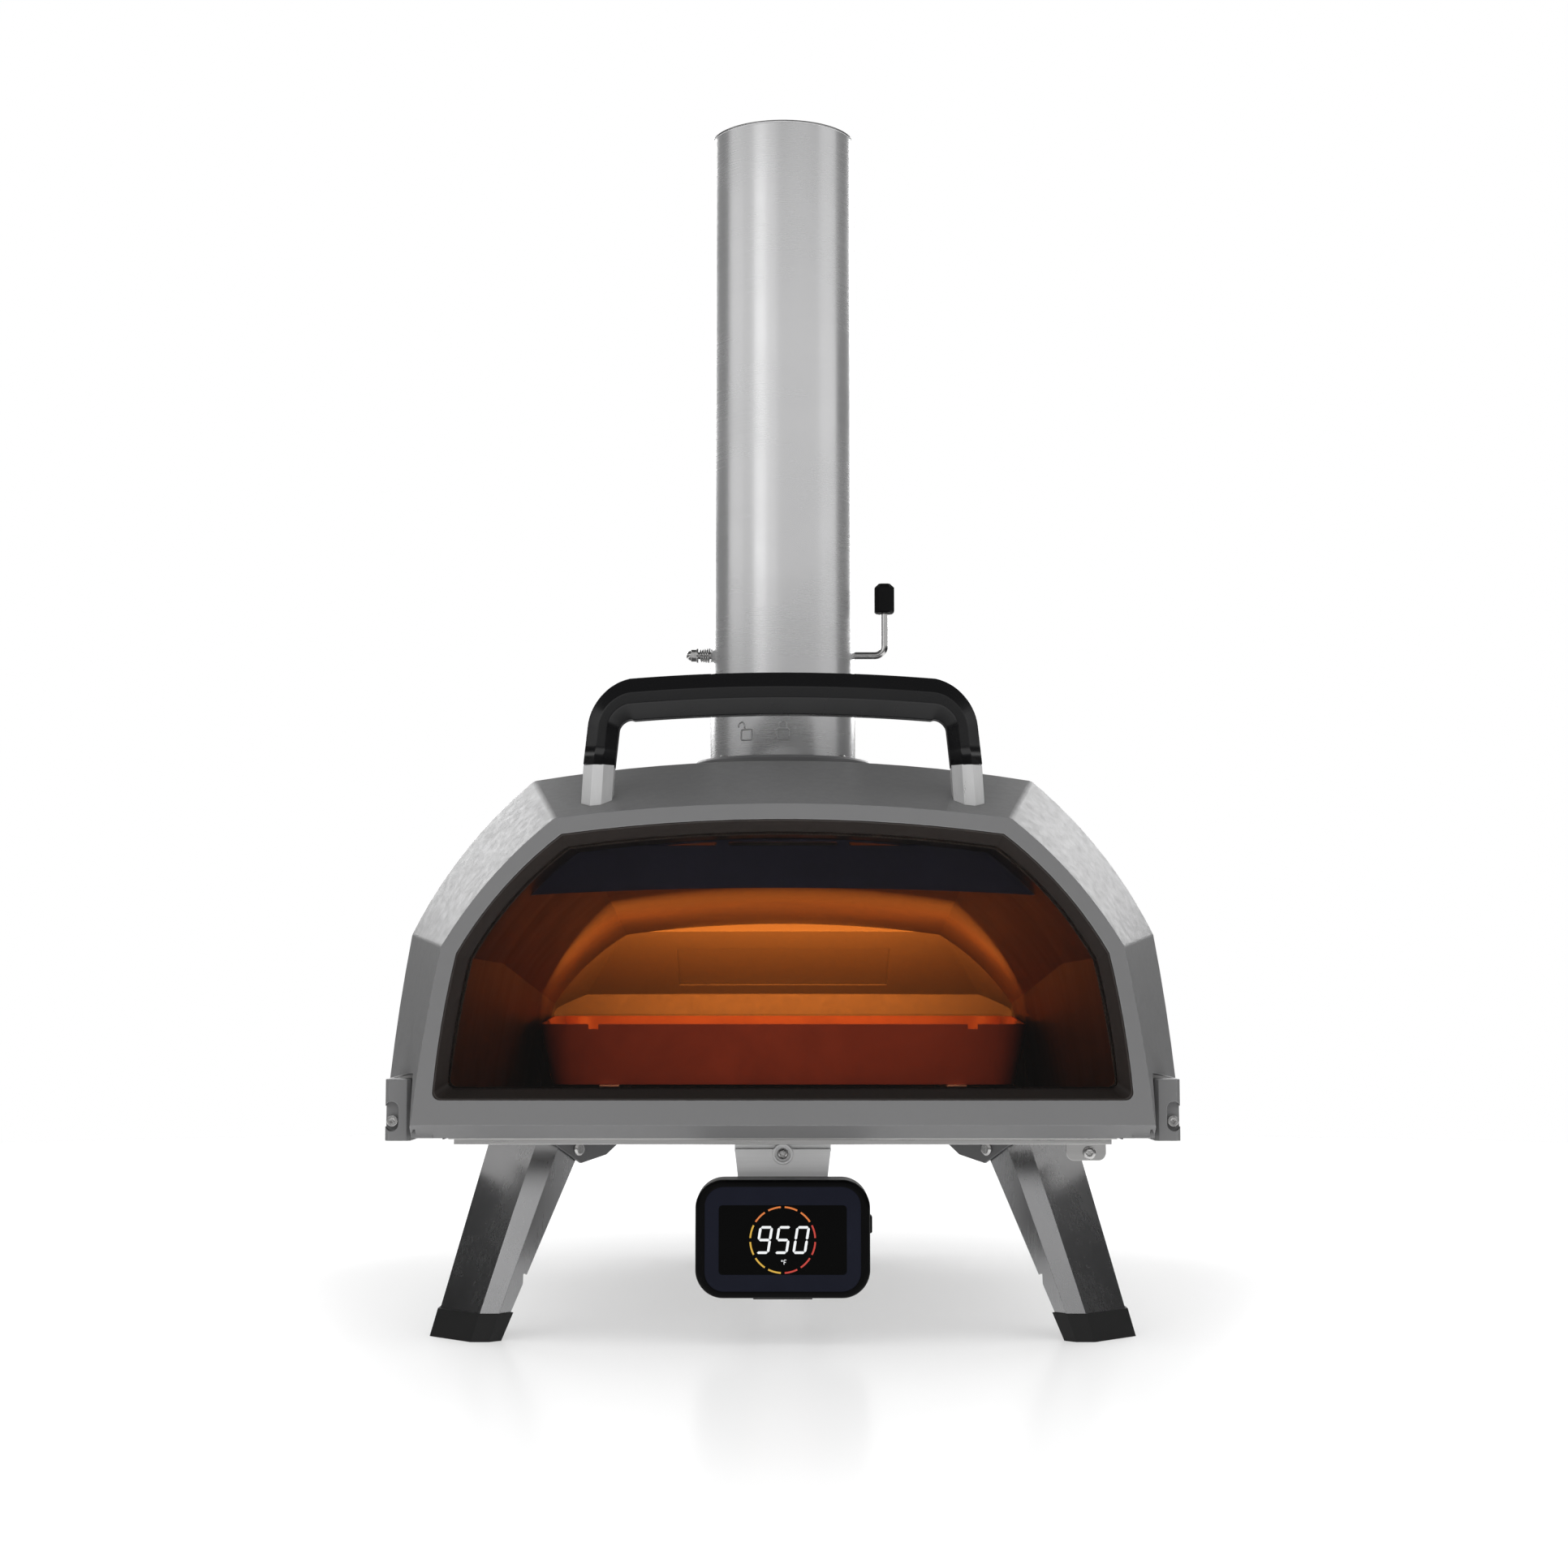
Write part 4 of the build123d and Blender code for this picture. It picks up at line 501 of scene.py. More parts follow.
# ---- Geometry Nodes helpers --------------------------------------------------------------
class Tree:
    """A Geometry Nodes tree under construction."""

    def __init__(self, name, sizes):
        self.tree = bpy.data.node_groups.new(name, "GeometryNodeTree")
        self.tree.interface.new_socket("Geometry", in_out="INPUT", socket_type="NodeSocketGeometry")
        self.sockets = {}
        for label, kind in sizes:
            self.sockets[label] = self.tree.interface.new_socket(label, in_out="INPUT", socket_type=kind)
        self.tree.interface.new_socket("Geometry", in_out="OUTPUT", socket_type="NodeSocketGeometry")
        self.input = self.tree.nodes.new("NodeGroupInput")
        self.output = self.tree.nodes.new("NodeGroupOutput")

    def size(self, label):
        return self.input.outputs[label]

    def geometry(self):
        return self.input.outputs["Geometry"]

    def add(self, kind, inputs=None, **options):
        """A node with its options set and its inputs linked or set, by name or number."""
        node = self.tree.nodes.new(kind)
        for option, value in options.items():
            setattr(node, option, value)
        for key, value in (inputs or {}).items():
            if isinstance(value, bpy.types.NodeSocket):
                self.tree.links.new(value, node.inputs[key])
            else:
                node.inputs[key].default_value = value
        return node

    def maths(self, operation, first, second=0.0):
        return self.add("ShaderNodeMath", {0: first, 1: second}, operation=operation).outputs[0]

    def finish(self, geometry, material):
        """End the tree in real geometry with its material."""
        real = self.add("GeometryNodeRealizeInstances", {"Geometry": geometry})
        painted = self.add("GeometryNodeSetMaterial", {"Geometry": real.outputs[0], "Material": material})
        self.tree.links.new(painted.outputs[0], self.output.inputs[0])

    def bake(self, host, values):
        """Run the tree on a host object and return the result as a plain mesh."""
        modifier = host.modifiers.new(self.tree.name, "NODES")
        modifier.node_group = self.tree
        for label, value in values.items():
            modifier[self.sockets[label].identifier] = value
        bpy.context.view_layer.update()
        graph = bpy.context.evaluated_depsgraph_get()
        mesh = bpy.data.meshes.new_from_object(host.evaluated_get(graph))
        host.modifiers.clear()
        bpy.data.objects.remove(host)
        return mesh


def host_curve(name, strokes, closed=False):
    """A curve object through points, one open or closed spline for each stroke."""
    curve = bpy.data.curves.new(name, "CURVE")
    curve.dimensions = "3D"
    for points in strokes:
        spline = curve.splines.new("POLY")
        spline.points.add(len(points) - 1)
        for target, point in zip(spline.points, points):
            target.co = (*point, 1.0)
        spline.use_cyclic_u = closed
    host = bpy.data.objects.new(name, curve)
    bpy.context.scene.collection.objects.link(host)
    return host


# ---- Handle ------------------------------------------------------------------------------
def arc_points(start, middle, end, steps):
    """Points on the arc through three points, in x and z."""
    a, b, c = (Vector(point) for point in (start, middle, end))
    chord = (c - a).length
    sagitta = (b - (a + c) / 2).length
    radius = (chord * chord / 4 + sagitta * sagitta) / (2 * sagitta)
    outwards = (b - (a + c) / 2).normalized()
    centre = b - outwards * radius
    half = math.asin(chord / 2 / radius)
    across = (c - a).normalized()
    points = []
    for index in range(steps + 1):
        angle = -half + 2 * half * index / steps
        points.append(centre + outwards * radius * math.cos(angle) + across * radius * math.sin(angle))
    return points


def hermite(start, start_run, end, end_run, steps):
    """A smooth bend between two points with given directions, ends left out."""
    points = []
    for index in range(1, steps):
        t = index / steps
        points.append(start * (2 * t ** 3 - 3 * t ** 2 + 1) + start_run * (t ** 3 - 2 * t ** 2 + t)
                      + end * (3 * t ** 2 - 2 * t ** 3) + end_run * (t ** 3 - t ** 2))
    return points


def grip_corners(grip):
    """Right-hand foot, knee, and start of the bar's arc, then the bar's middle, in x and z."""
    low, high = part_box("handle_grip")
    foot = Vector((high.x - grip.height / 2, low.z))
    middle = Vector((0.0, high.z - grip.height * grip.swell / 2))
    end_z = middle.y - grip.rise
    knee = Vector((foot.x - grip.lean, end_z - grip.bend))
    return foot, knee, Vector((knee.x - grip.bend, end_z)), middle


def grip_path(grip):
    """The middle line of the door handle's bar, from its left end to its right end."""
    low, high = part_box("handle_grip")
    y = (low.y + high.y) / 2
    foot, knee, crest, middle = grip_corners(grip)
    arc = arc_points((-crest.x, crest.y), tuple(middle), tuple(crest), 40)
    rise_run = (arc[0] - arc[1]).normalized()
    right_run = Vector((-rise_run.x, rise_run.y))
    side_run = (foot - knee).normalized()
    bend = hermite(crest, right_run * grip.bend * 1.5, knee, side_run * grip.bend * 1.5, 14)
    half = arc[20:] + bend + [knee, (knee + foot) / 2, foot]
    right = [Vector((point.x, y, point.y)) for point in half]
    left = [Vector((-point.x, point.y, point.z)) for point in right[:0:-1]]
    return left + right


def grip_tree(material):
    """Sweep a softened eight-sided section along a curve, and thicken it towards the middle."""
    work = Tree("swept_grip", [("Width", "NodeSocketFloat"), ("Height", "NodeSocketFloat"),
                               ("Facet", "NodeSocketFloat"), ("Softness", "NodeSocketFloat"),
                               ("Swell", "NodeSocketFloat"), ("Bar End", "NodeSocketFloat"),
                               ("Arm Start", "NodeSocketFloat")])
    section = work.add("GeometryNodeCurvePrimitiveQuadrilateral",
                       {"Width": work.size("Width"), "Height": work.size("Height")}, mode="RECTANGLE")
    cut = work.add("GeometryNodeFilletCurve",
                   {"Curve": section.outputs[0], "Count": 1, "Radius": work.size("Facet"),
                    "Limit Radius": True}, mode="POLY")
    soft = work.add("GeometryNodeFilletCurve",
                    {"Curve": cut.outputs[0], "Count": 3, "Radius": work.size("Softness"),
                     "Limit Radius": True}, mode="POLY")
    upright = work.add("GeometryNodeSetCurveNormal", {"Curve": work.geometry()}, mode="Z_UP")
    place = work.add("GeometryNodeInputPosition").outputs[0]
    marked = work.add("GeometryNodeStoreNamedAttribute",
                      {"Geometry": upright.outputs[0], "Name": "middle_line", "Value": place},
                      data_type="FLOAT_VECTOR", domain="POINT")
    swept = work.add("GeometryNodeCurveToMesh", {"Curve": marked.outputs[0], "Profile Curve": soft.outputs[0],
                                                "Fill Caps": True})
    line = work.add("GeometryNodeInputNamedAttribute", {"Name": "middle_line"},
                    data_type="FLOAT_VECTOR").outputs[0]
    along = work.maths("ABSOLUTE", work.add("ShaderNodeSeparateXYZ", {0: line}).outputs[0])
    share = work.add("ShaderNodeMapRange", {"Value": along, "From Min": work.size("Bar End"),
                                            "From Max": work.size("Arm Start"),
                                            "To Min": work.size("Swell"), "To Max": 1.0}).outputs[0]
    growth = work.add("ShaderNodeCombineXYZ", {"X": share, "Y": 1.0, "Z": share}).outputs[0]
    offset = work.add("ShaderNodeVectorMath", {0: place, 1: line}, operation="SUBTRACT").outputs[0]
    grown = work.add("ShaderNodeVectorMath", {0: offset, 1: growth, 2: line},
                     operation="MULTIPLY_ADD").outputs[0]
    swollen = work.add("GeometryNodeSetPosition", {"Geometry": swept.outputs[0], "Position": grown})
    clean = work.add("GeometryNodeRemoveAttribute", {"Geometry": swollen.outputs[0], "Name": "middle_line"})
    smooth = work.add("GeometryNodeSetShadeSmooth", {"Geometry": clean.outputs[0]})
    work.finish(smooth.outputs[0], material)
    return work


class OVEN_OT_handle_grip(bpy.types.Operator):
    """Sweep the door handle's eight-sided black bar"""
    bl_idname = "oven.handle_grip"
    bl_label = "Door Handle Grip"

    def execute(self, context):
        grip = context.scene.oven_grip
        material = moulded("handle_grip_plastic", scaled(settings(context).grips, 0.5), 0.24, depth=0.04)
        work = grip_tree(material)
        host = host_curve("grip_path", [grip_path(grip)])
        _, knee, crest, _ = grip_corners(grip)
        mesh = work.bake(host, {"Width": grip.width, "Height": grip.height, "Facet": grip.facet,
                                "Softness": grip.softness, "Swell": grip.swell,
                                "Bar End": crest.x, "Arm Start": knee.x})
        piece = new_piece("door_handle_grip", mesh, "door")
        piece.modifiers.new("flat_facets", "WEIGHTED_NORMAL")
        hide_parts("handle_grip")
        return {"FINISHED"}


# ---- Screws ------------------------------------------------------------------------------
def loose_boxes(name):
    """The box of each separate solid in a CAD node."""
    mesh = bmesh.new()
    mesh.from_mesh(NODES[name].data)
    bmesh.ops.remove_doubles(mesh, verts=mesh.verts, dist=1e-6)
    mesh.verts.ensure_lookup_table()
    left = set(mesh.verts)
    boxes = []
    while left:
        island = [left.pop()]
        for vertex in island:
            for edge in vertex.link_edges:
                other = edge.other_vert(vertex)
                if other in left:
                    left.remove(other)
                    island.append(other)
        low = Vector([min(vertex.co[axis] for vertex in island) for axis in range(3)])
        high = Vector([max(vertex.co[axis] for vertex in island) for axis in range(3)])
        boxes.append((low, high))
    mesh.free()
    return sorted(boxes, key=lambda box: tuple(box[0]))


def screw_tree(material):
    """A domed head with a six-lobed recess on every point, turned to face along its normal."""
    work = Tree("screw_heads", [("Recess", "NodeSocketFloat"), ("Lobes", "NodeSocketFloat"),
                                ("Sides", "NodeSocketInt")])
    disc = work.add("GeometryNodeMeshCylinder",
                    {"Vertices": work.size("Sides"), "Radius": 1.0, "Depth": 0.30}, fill_type="NGON")
    raised = work.add("GeometryNodeTransform",
                      {"Geometry": disc.outputs["Mesh"], "Translation": (0.0, 0.0, 0.15)})
    domed = work.add("GeometryNodeExtrudeMesh", {"Mesh": raised.outputs[0], "Selection": disc.outputs["Top"],
                                                 "Offset Scale": 0.16}, mode="FACES")
    shoulder = work.add("GeometryNodeScaleElements", {"Geometry": domed.outputs["Mesh"],
                                                      "Selection": domed.outputs["Top"], "Scale": 0.84})
    crown = work.add("GeometryNodeExtrudeMesh",
                     {"Mesh": shoulder.outputs[0], "Selection": domed.outputs["Top"],
                      "Offset Scale": 0.06}, mode="FACES")
    crowned = work.add("GeometryNodeScaleElements", {"Geometry": crown.outputs["Mesh"],
                                                     "Selection": crown.outputs["Top"], "Scale": 0.72})
    rim = work.add("GeometryNodeExtrudeMesh", {"Mesh": crowned.outputs[0], "Selection": crown.outputs["Top"],
                                               "Offset Scale": 0.001}, mode="FACES")
    mouth = work.add("GeometryNodeScaleElements",
                     {"Geometry": rim.outputs["Mesh"], "Selection": rim.outputs["Top"],
                      "Scale": work.maths("DIVIDE", work.size("Recess"), 0.6)})
    place = work.add("GeometryNodeInputPosition")
    parts = work.add("ShaderNodeSeparateXYZ", {0: place.outputs[0]})
    angle = work.maths("ARCTAN2", parts.outputs[1], parts.outputs[0])
    wave = work.maths("COSINE", work.maths("MULTIPLY", angle, 6.0))
    grown = work.maths("ADD", work.maths("MULTIPLY", wave, work.size("Lobes")), 1.0)
    spread = work.add("ShaderNodeCombineXYZ", {0: work.maths("MULTIPLY", parts.outputs[0], grown),
                                              1: work.maths("MULTIPLY", parts.outputs[1], grown),
                                              2: parts.outputs[2]})
    lobed = work.add("GeometryNodeSetPosition",
                     {"Geometry": mouth.outputs[0], "Selection": rim.outputs["Top"],
                      "Position": spread.outputs[0]})
    sunk = work.add("GeometryNodeExtrudeMesh", {"Mesh": lobed.outputs[0], "Selection": rim.outputs["Top"],
                                                "Offset Scale": -0.26}, mode="FACES")
    radius = work.add("GeometryNodeInputNamedAttribute", {"Name": "head_radius"}, data_type="FLOAT")
    facing = work.add("GeometryNodeInputNamedAttribute", {"Name": "facing"}, data_type="FLOAT_VECTOR")
    turned = work.add("FunctionNodeAlignRotationToVector", {"Vector": facing.outputs[0]}, axis="Z")
    heads = work.add("GeometryNodeInstanceOnPoints",
                     {"Points": work.geometry(), "Instance": sunk.outputs["Mesh"],
                      "Rotation": turned.outputs[0], "Scale": radius.outputs[0]})
    work.finish(heads.outputs[0], material)
    return work


def screw_points(sources):
    """A host object with a point under every screw head, its facing and its radius."""
    mesh = bpy.data.meshes.new("screw_points")
    places = []
    facings = []
    radii = []
    for name, facing in sources:
        for low, high in loose_boxes(name):
            axis, sign = facing(low, high)
            place = (low + high) / 2
            place[axis] = low[axis] if sign > 0 else high[axis]
            direction = Vector((0.0, 0.0, 0.0))
            direction[axis] = sign
            size = high - low
            places.append(place)
            facings.append(direction)
            radii.append(max(size) / 2)
    mesh.from_pydata(places, [], [])
    mesh.attributes.new("facing", "FLOAT_VECTOR", "POINT")
    mesh.attributes.new("head_radius", "FLOAT", "POINT")
    for index, direction in enumerate(facings):
        mesh.attributes["facing"].data[index].vector = direction
        mesh.attributes["head_radius"].data[index].value = radii[index]
    host = bpy.data.objects.new("screw_points", mesh)
    bpy.context.scene.collection.objects.link(host)
    return host


def towards_thin_side(low, high):
    """Heads on the rear panel face backwards and heads under the base face down."""
    size = high - low
    return (1, 1) if size.y < size.z else (2, -1)


class OVEN_OT_screw_heads(bpy.types.Operator):
    """Set a domed, six-lobed head on every visible body screw"""
    bl_idname = "oven.screw_heads"
    bl_label = "Screw Heads"

    def execute(self, context):
        screws = context.scene.oven_screws
        finishes = settings(context)
        material = brushed_metal("screw_zinc", finishes.sheet_steel, finishes, (300.0, 300.0, 300.0),
                                 0.24, 0.05)
        host = screw_points([
            ("panel_screws", towards_thin_side),
            ("collar_screws", lambda low, high: (2, 1)),
            ("bracket_screws", lambda low, high: (1, -1)),
        ])
        mesh = screw_tree(material).bake(host, {"Recess": screws.recess, "Lobes": screws.lobes,
                                                "Sides": screws.sides})
        piece = new_piece("body_screw_heads", mesh, "root")
        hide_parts("panel_screws", "collar_screws", "bracket_screws")
        return {"FINISHED"}


# ---- Flue marks --------------------------------------------------------------------------
def wrapped(points, centre, radius):
    """Flat points laid round an upright pipe: x runs round it and z runs up it."""
    laid = []
    for x, z in points:
        turn = x / radius
        laid.append(Vector((centre.x + radius * math.sin(turn), centre.y - radius * math.cos(turn), z)))
    return laid


def padlock(x, z, aside):
    """The outlines of a small padlock: its body, and its shackle set aside by a distance."""
    half_width, half_height, corner = 0.0042, 0.0036, 0.0010
    body = []
    for turn in range(4):
        side_x = 1 if turn in (0, 3) else -1
        side_z = 1 if turn in (0, 1) else -1
        for step in range(5):
            angle = math.radians(90 * turn + 22.5 * step)
            body.append((x + side_x * (half_width - corner) + corner * math.cos(angle),
                         z + side_z * (half_height - corner) + corner * math.sin(angle)))
    body.append(body[0])
    bow = 0.0025
    top = z + half_height + 0.0028
    middle = x - aside
    foot = z + half_height
    far_foot = foot if aside == 0 else top - 0.0010
    shackle = [(middle + bow, foot)]
    for step in range(9):
        angle = math.radians(180 * step / 8)
        shackle.append((middle + bow * math.cos(angle), top + bow * math.sin(angle)))
    shackle.append((middle - bow, far_foot))
    return [body, shackle]


def fine_line(points, spacing=0.0006):
    """The same line with points close enough to lie on a curved surface."""
    fine = []
    for (x0, z0), (x1, z1) in zip(points, points[1:]):
        steps = max(1, int(math.hypot(x1 - x0, z1 - z0) / spacing))
        for step in range(steps):
            share = step / steps
            fine.append((x0 + (x1 - x0) * share, z0 + (z1 - z0) * share))
    fine.append(points[-1])
    return fine


def raised_line_tree(name, material):
    """Sweep a small round section along every spline."""
    work = Tree(name, [("Radius", "NodeSocketFloat"), ("Sides", "NodeSocketInt")])
    section = work.add("GeometryNodeCurvePrimitiveCircle",
                       {"Resolution": work.size("Sides"), "Radius": work.size("Radius")}, mode="RADIUS")
    swept = work.add("GeometryNodeCurveToMesh",
                     {"Curve": work.geometry(), "Profile Curve": section.outputs[0], "Fill Caps": True})
    smooth = work.add("GeometryNodeSetShadeSmooth", {"Geometry": swept.outputs[0]})
    work.finish(smooth.outputs[0], material)
    return work


class OVEN_OT_flue_marks(bpy.types.Operator):
    """Emboss the open and locked marks at the flue's foot and hem its upper end"""
    bl_idname = "oven.flue_marks"
    bl_label = "Flue Marks and Hem"

    def execute(self, context):
        finishes = settings(context)
        low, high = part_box("chimney_tube")
        centre = (low + high) / 2
        radius = (high.x - low.x) / 2
        base = low.z + 0.0150
        open_x = -0.0262
        open_shackle = 0.0040
        outlines = padlock(open_x, base, open_shackle) + padlock(0.0, base, 0.0)
        strokes = [wrapped(fine_line(points), centre, radius) for points in outlines]
        marks = brushed_metal("flue_mark_steel", finishes.flue, finishes, (6.0, 6.0, 900.0), 0.3)
        mesh = raised_line_tree("embossed_marks", marks).bake(
            host_curve("mark_lines", strokes), {"Radius": 0.00055, "Sides": 8})
        new_piece("flue_marks", mesh, "chimney")
        hem_radius = 0.0009
        hem_steps = 96
        around = [(2 * math.pi * radius * step / hem_steps, high.z - hem_radius) for step in range(hem_steps)]
        ring = wrapped(around, centre, radius - 0.0003)
        mesh = raised_line_tree("rolled_hem", marks).bake(
            host_curve("hem_line", [ring], True), {"Radius": hem_radius, "Sides": 12})
        new_piece("flue_hem", mesh, "chimney")
        return {"FINISHED"}


# ---- Readout -----------------------------------------------------------------------------
DIGIT_BARS = {
    "0": "abcdef", "1": "bc", "2": "abged", "3": "abgcd", "4": "fgbc",
    "5": "afgcd", "6": "afgedc", "7": "abc", "8": "abcdefg", "9": "abcdfg",
}


def bar_outline(start, end, stroke):
    """A pointed bar between two points."""
    run = (end - start).normalized()
    across = Vector((-run.y, run.x)) * stroke / 2
    tip = run * stroke / 2
    gap = run * stroke * 0.12
    start = start + gap
    end = end - gap
    return [start, start + tip + across, end - tip + across, end, end - tip - across, start + tip - across]


def digit_bars(digit, readout):
    """The lit bars of one digit about its own middle."""
    w = (readout.digit_width - readout.stroke) / 2
    h = (readout.digit_height - readout.stroke) / 2
    corners = {
        "a": ((-w, h), (w, h)), "b": ((w, h), (w, 0)), "c": ((w, 0), (w, -h)), "d": ((-w, -h), (w, -h)),
        "e": ((-w, 0), (-w, -h)), "f": ((-w, h), (-w, 0)), "g": ((-w, 0), (w, 0)),
    }
    return [bar_outline(Vector(corners[bar][0]), Vector(corners[bar][1]), readout.stroke)
            for bar in DIGIT_BARS[digit]]


def plates(name, outlines, y, thickness, material):
    """Thin plates with the given outlines in x and z, standing just in front of y."""
    mesh = bmesh.new()
    for outline in outlines:
        back = [mesh.verts.new((point[0], y, point[1])) for point in outline]
        face = mesh.faces.new(back)
        grown = bmesh.ops.extrude_face_region(mesh, geom=[face])
        front = [item for item in grown["geom"] if isinstance(item, bmesh.types.BMVert)]
        bmesh.ops.translate(mesh, verts=front, vec=(0.0, -thickness, 0.0))
    bmesh.ops.recalc_face_normals(mesh, faces=mesh.faces)
    data = bpy.data.meshes.new(name)
    mesh.to_mesh(data)
    mesh.free()
    data.materials.append(material)
    return data


# Shares of the ring's turn, anticlockwise from the right, at which each colour ends.
RED_TO = 0.04
ORANGE_TO = 0.37
YELLOW_TO = 0.70


def ring_tree(materials):
    """Arc segments round a circle, lit yellow at the lower left, orange at the top and red at the right."""
    work = Tree("lit_ring", [("Radius", "NodeSocketFloat"), ("Width", "NodeSocketFloat"),
                             ("Segments", "NodeSocketInt"), ("Gap", "NodeSocketFloat")])
    step = work.maths("DIVIDE", 2 * math.pi, work.size("Segments"))
    sweep = work.maths("SUBTRACT", step, work.maths("RADIANS", work.size("Gap")))
    arc = work.add("GeometryNodeCurveArc",
                   {"Resolution": 10, "Radius": work.size("Radius"), "Start Angle": 0.0,
                    "Sweep Angle": sweep}, mode="RADIUS")
    section = work.add("GeometryNodeCurvePrimitiveQuadrilateral",
                       {"Width": work.size("Width"), "Height": 0.00016}, mode="RECTANGLE")
    segment = work.add("GeometryNodeCurveToMesh",
                       {"Curve": arc.outputs[0], "Profile Curve": section.outputs[0], "Fill Caps": True})
    points = work.add("GeometryNodePoints", {"Count": work.size("Segments")})
    index = work.add("GeometryNodeInputIndex")
    turn = work.add("ShaderNodeCombineXYZ", {2: work.maths("MULTIPLY", index.outputs[0], step)})
    ring = work.add("GeometryNodeInstanceOnPoints",
                    {"Points": points.outputs[0], "Instance": segment.outputs[0],
                     "Rotation": turn.outputs[0]})
    stored = work.add("GeometryNodeStoreNamedAttribute",
                      {"Geometry": ring.outputs[0], "Name": "segment", "Value": index.outputs[0]},
                      data_type="FLOAT", domain="INSTANCE")
    real = work.add("GeometryNodeRealizeInstances", {"Geometry": stored.outputs[0]})
    number = work.add("GeometryNodeInputNamedAttribute", {"Name": "segment"}, data_type="FLOAT").outputs[0]
    share = work.maths("DIVIDE", number, work.size("Segments"))
    orange, yellow, red = materials
    shade = work.add("GeometryNodeSetMaterial", {"Geometry": real.outputs[0], "Material": red})
    for first, last, material in ((RED_TO, ORANGE_TO, orange), (ORANGE_TO, YELLOW_TO, yellow)):
        chosen = work.maths("MULTIPLY", work.maths("GREATER_THAN", share, first),
                            work.maths("LESS_THAN", share, last))
        shade = work.add("GeometryNodeSetMaterial",
                         {"Geometry": shade.outputs[0], "Selection": chosen, "Material": material})
    work.tree.links.new(shade.outputs[0], work.output.inputs[0])
    return work


class OVEN_OT_readout(bpy.types.Operator):
    """Light the temperature digits, the unit and the ring on the screen"""
    bl_idname = "oven.readout"
    bl_label = "Readout"

    def execute(self, context):
        readout = context.scene.oven_readout
        low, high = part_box("display_screen")
        middle = Vector(((low.x + high.x) / 2, high.z - readout.centre_drop))
        front = low.y
        outlines = []
        first = -(len(readout.reading) - 1) / 2 * readout.digit_pitch
        for place, digit in enumerate(readout.reading):
            across = middle.x + first + place * readout.digit_pitch
            for bar in digit_bars(digit, readout):
                outlines.append([(across + point.x + readout.slant * point.y, middle.y + point.y)
                                 for point in bar])
        outlines += self.unit(middle.x + 0.0008, middle.y - readout.ring_radius * 0.68)
        white = lit("lit_white", (0.92, 0.94, 0.95), readout.brightness)
        mesh = plates("readout_digits", outlines, front, 0.00012, white)
        new_piece("readout_digits", mesh, "display")

        colours = [lit("lit_orange", (0.72, 0.19, 0.035), readout.brightness),
                   lit("lit_yellow", (0.70, 0.42, 0.05), readout.brightness),
                   lit("lit_red", (0.56, 0.045, 0.03), readout.brightness)]
        host = bpy.data.objects.new("ring_host", bpy.data.meshes.new("ring_host"))
        context.scene.collection.objects.link(host)
        mesh = ring_tree(colours).bake(host, {"Radius": readout.ring_radius, "Width": readout.ring_width,
                                              "Segments": readout.segments, "Gap": readout.ring_gap})
        half_gap = math.radians(readout.ring_gap) / 2
        mesh.transform(Matrix.Translation((middle.x, front - 0.00008, middle.y))
                       @ Matrix.Rotation(math.radians(90), 4, "X") @ Matrix.Rotation(half_gap, 4, "Z"))
        new_piece("readout_ring", mesh, "display")
        return {"FINISHED"}

    def unit(self, x, z):
        """A small degree sign and an F."""
        stroke = 0.00042
        tall = 0.0030
        top_bar = 0.0016
        middle_bar = 0.0013
        middle_z = tall * 0.52
        hole = 0.00030
        rim = 0.00060
        sides = 8
        stem = Vector((x, z - tall / 2))
        bars = [(stem, stem + Vector((0.0, tall))),
                (stem + Vector((0.0, tall)), stem + Vector((top_bar, tall))),
                (stem + Vector((0.0, middle_z)), stem + Vector((middle_bar, middle_z)))]
        outlines = [[tuple(point) for point in bar_outline(start, end, stroke)] for start, end in bars]
        ring_x = x - 0.0013
        ring_z = z + tall * 0.32
        for step in range(sides):
            corners = []
            for radius, turn in ((hole, step), (rim, step), (rim, step + 1), (hole, step + 1)):
                angle = math.radians(360 / sides * turn)
                corners.append((ring_x + radius * math.cos(angle), ring_z + radius * math.sin(angle)))
            outlines.append(corners)
        return outlines


# ---- Stage -------------------------------------------------------------------------------
FLOOR_RADIUS = 2.4
LIGHT_HEIGHT = 1.25         # middle of every panel and rear softbox
PANEL_REACH = 2.3           # from the flue's middle to each front panel
PANEL_HEIGHT = 1.15
REAR_SIDE = 1.15            # rear softboxes, from the middle
REAR_DEPTH = 2.3            # rear softboxes, behind the door's face
REAR_SIZE = (1.0, 1.1)
CARD_SIDE = 1.1             # dark cards, from the middle
CARD_FRONT = 1.0            # before the door's face
CARD_REAR = 1.6             # behind the door's face
CARD_HEIGHT = 0.5

# The fire's lights: share of the glow, width and height, and colour.
FIRE = (0.9, (0.30, 0.05), (1.0, 0.28, 0.06))
FLAMES = (75.0, (0.34, 0.05), (1.0, 0.27, 0.03))
FIRELIGHT = (5.0, (0.34, 0.03), (1.0, 0.36, 0.19))
FIRELIGHT_SPREAD = 80       # degrees

# Upright panels in a ring before the oven: first and last bearing in degrees, and brightness.
FRONT_PANELS = (
    (-95, -66, 0.85),
    (-66, -46, 0.68),
    (-46, -27, 1.45),
    (-27, -9, 0.95),
    (-9, 60, 0.70),
    (60, 95, 0.88),
)


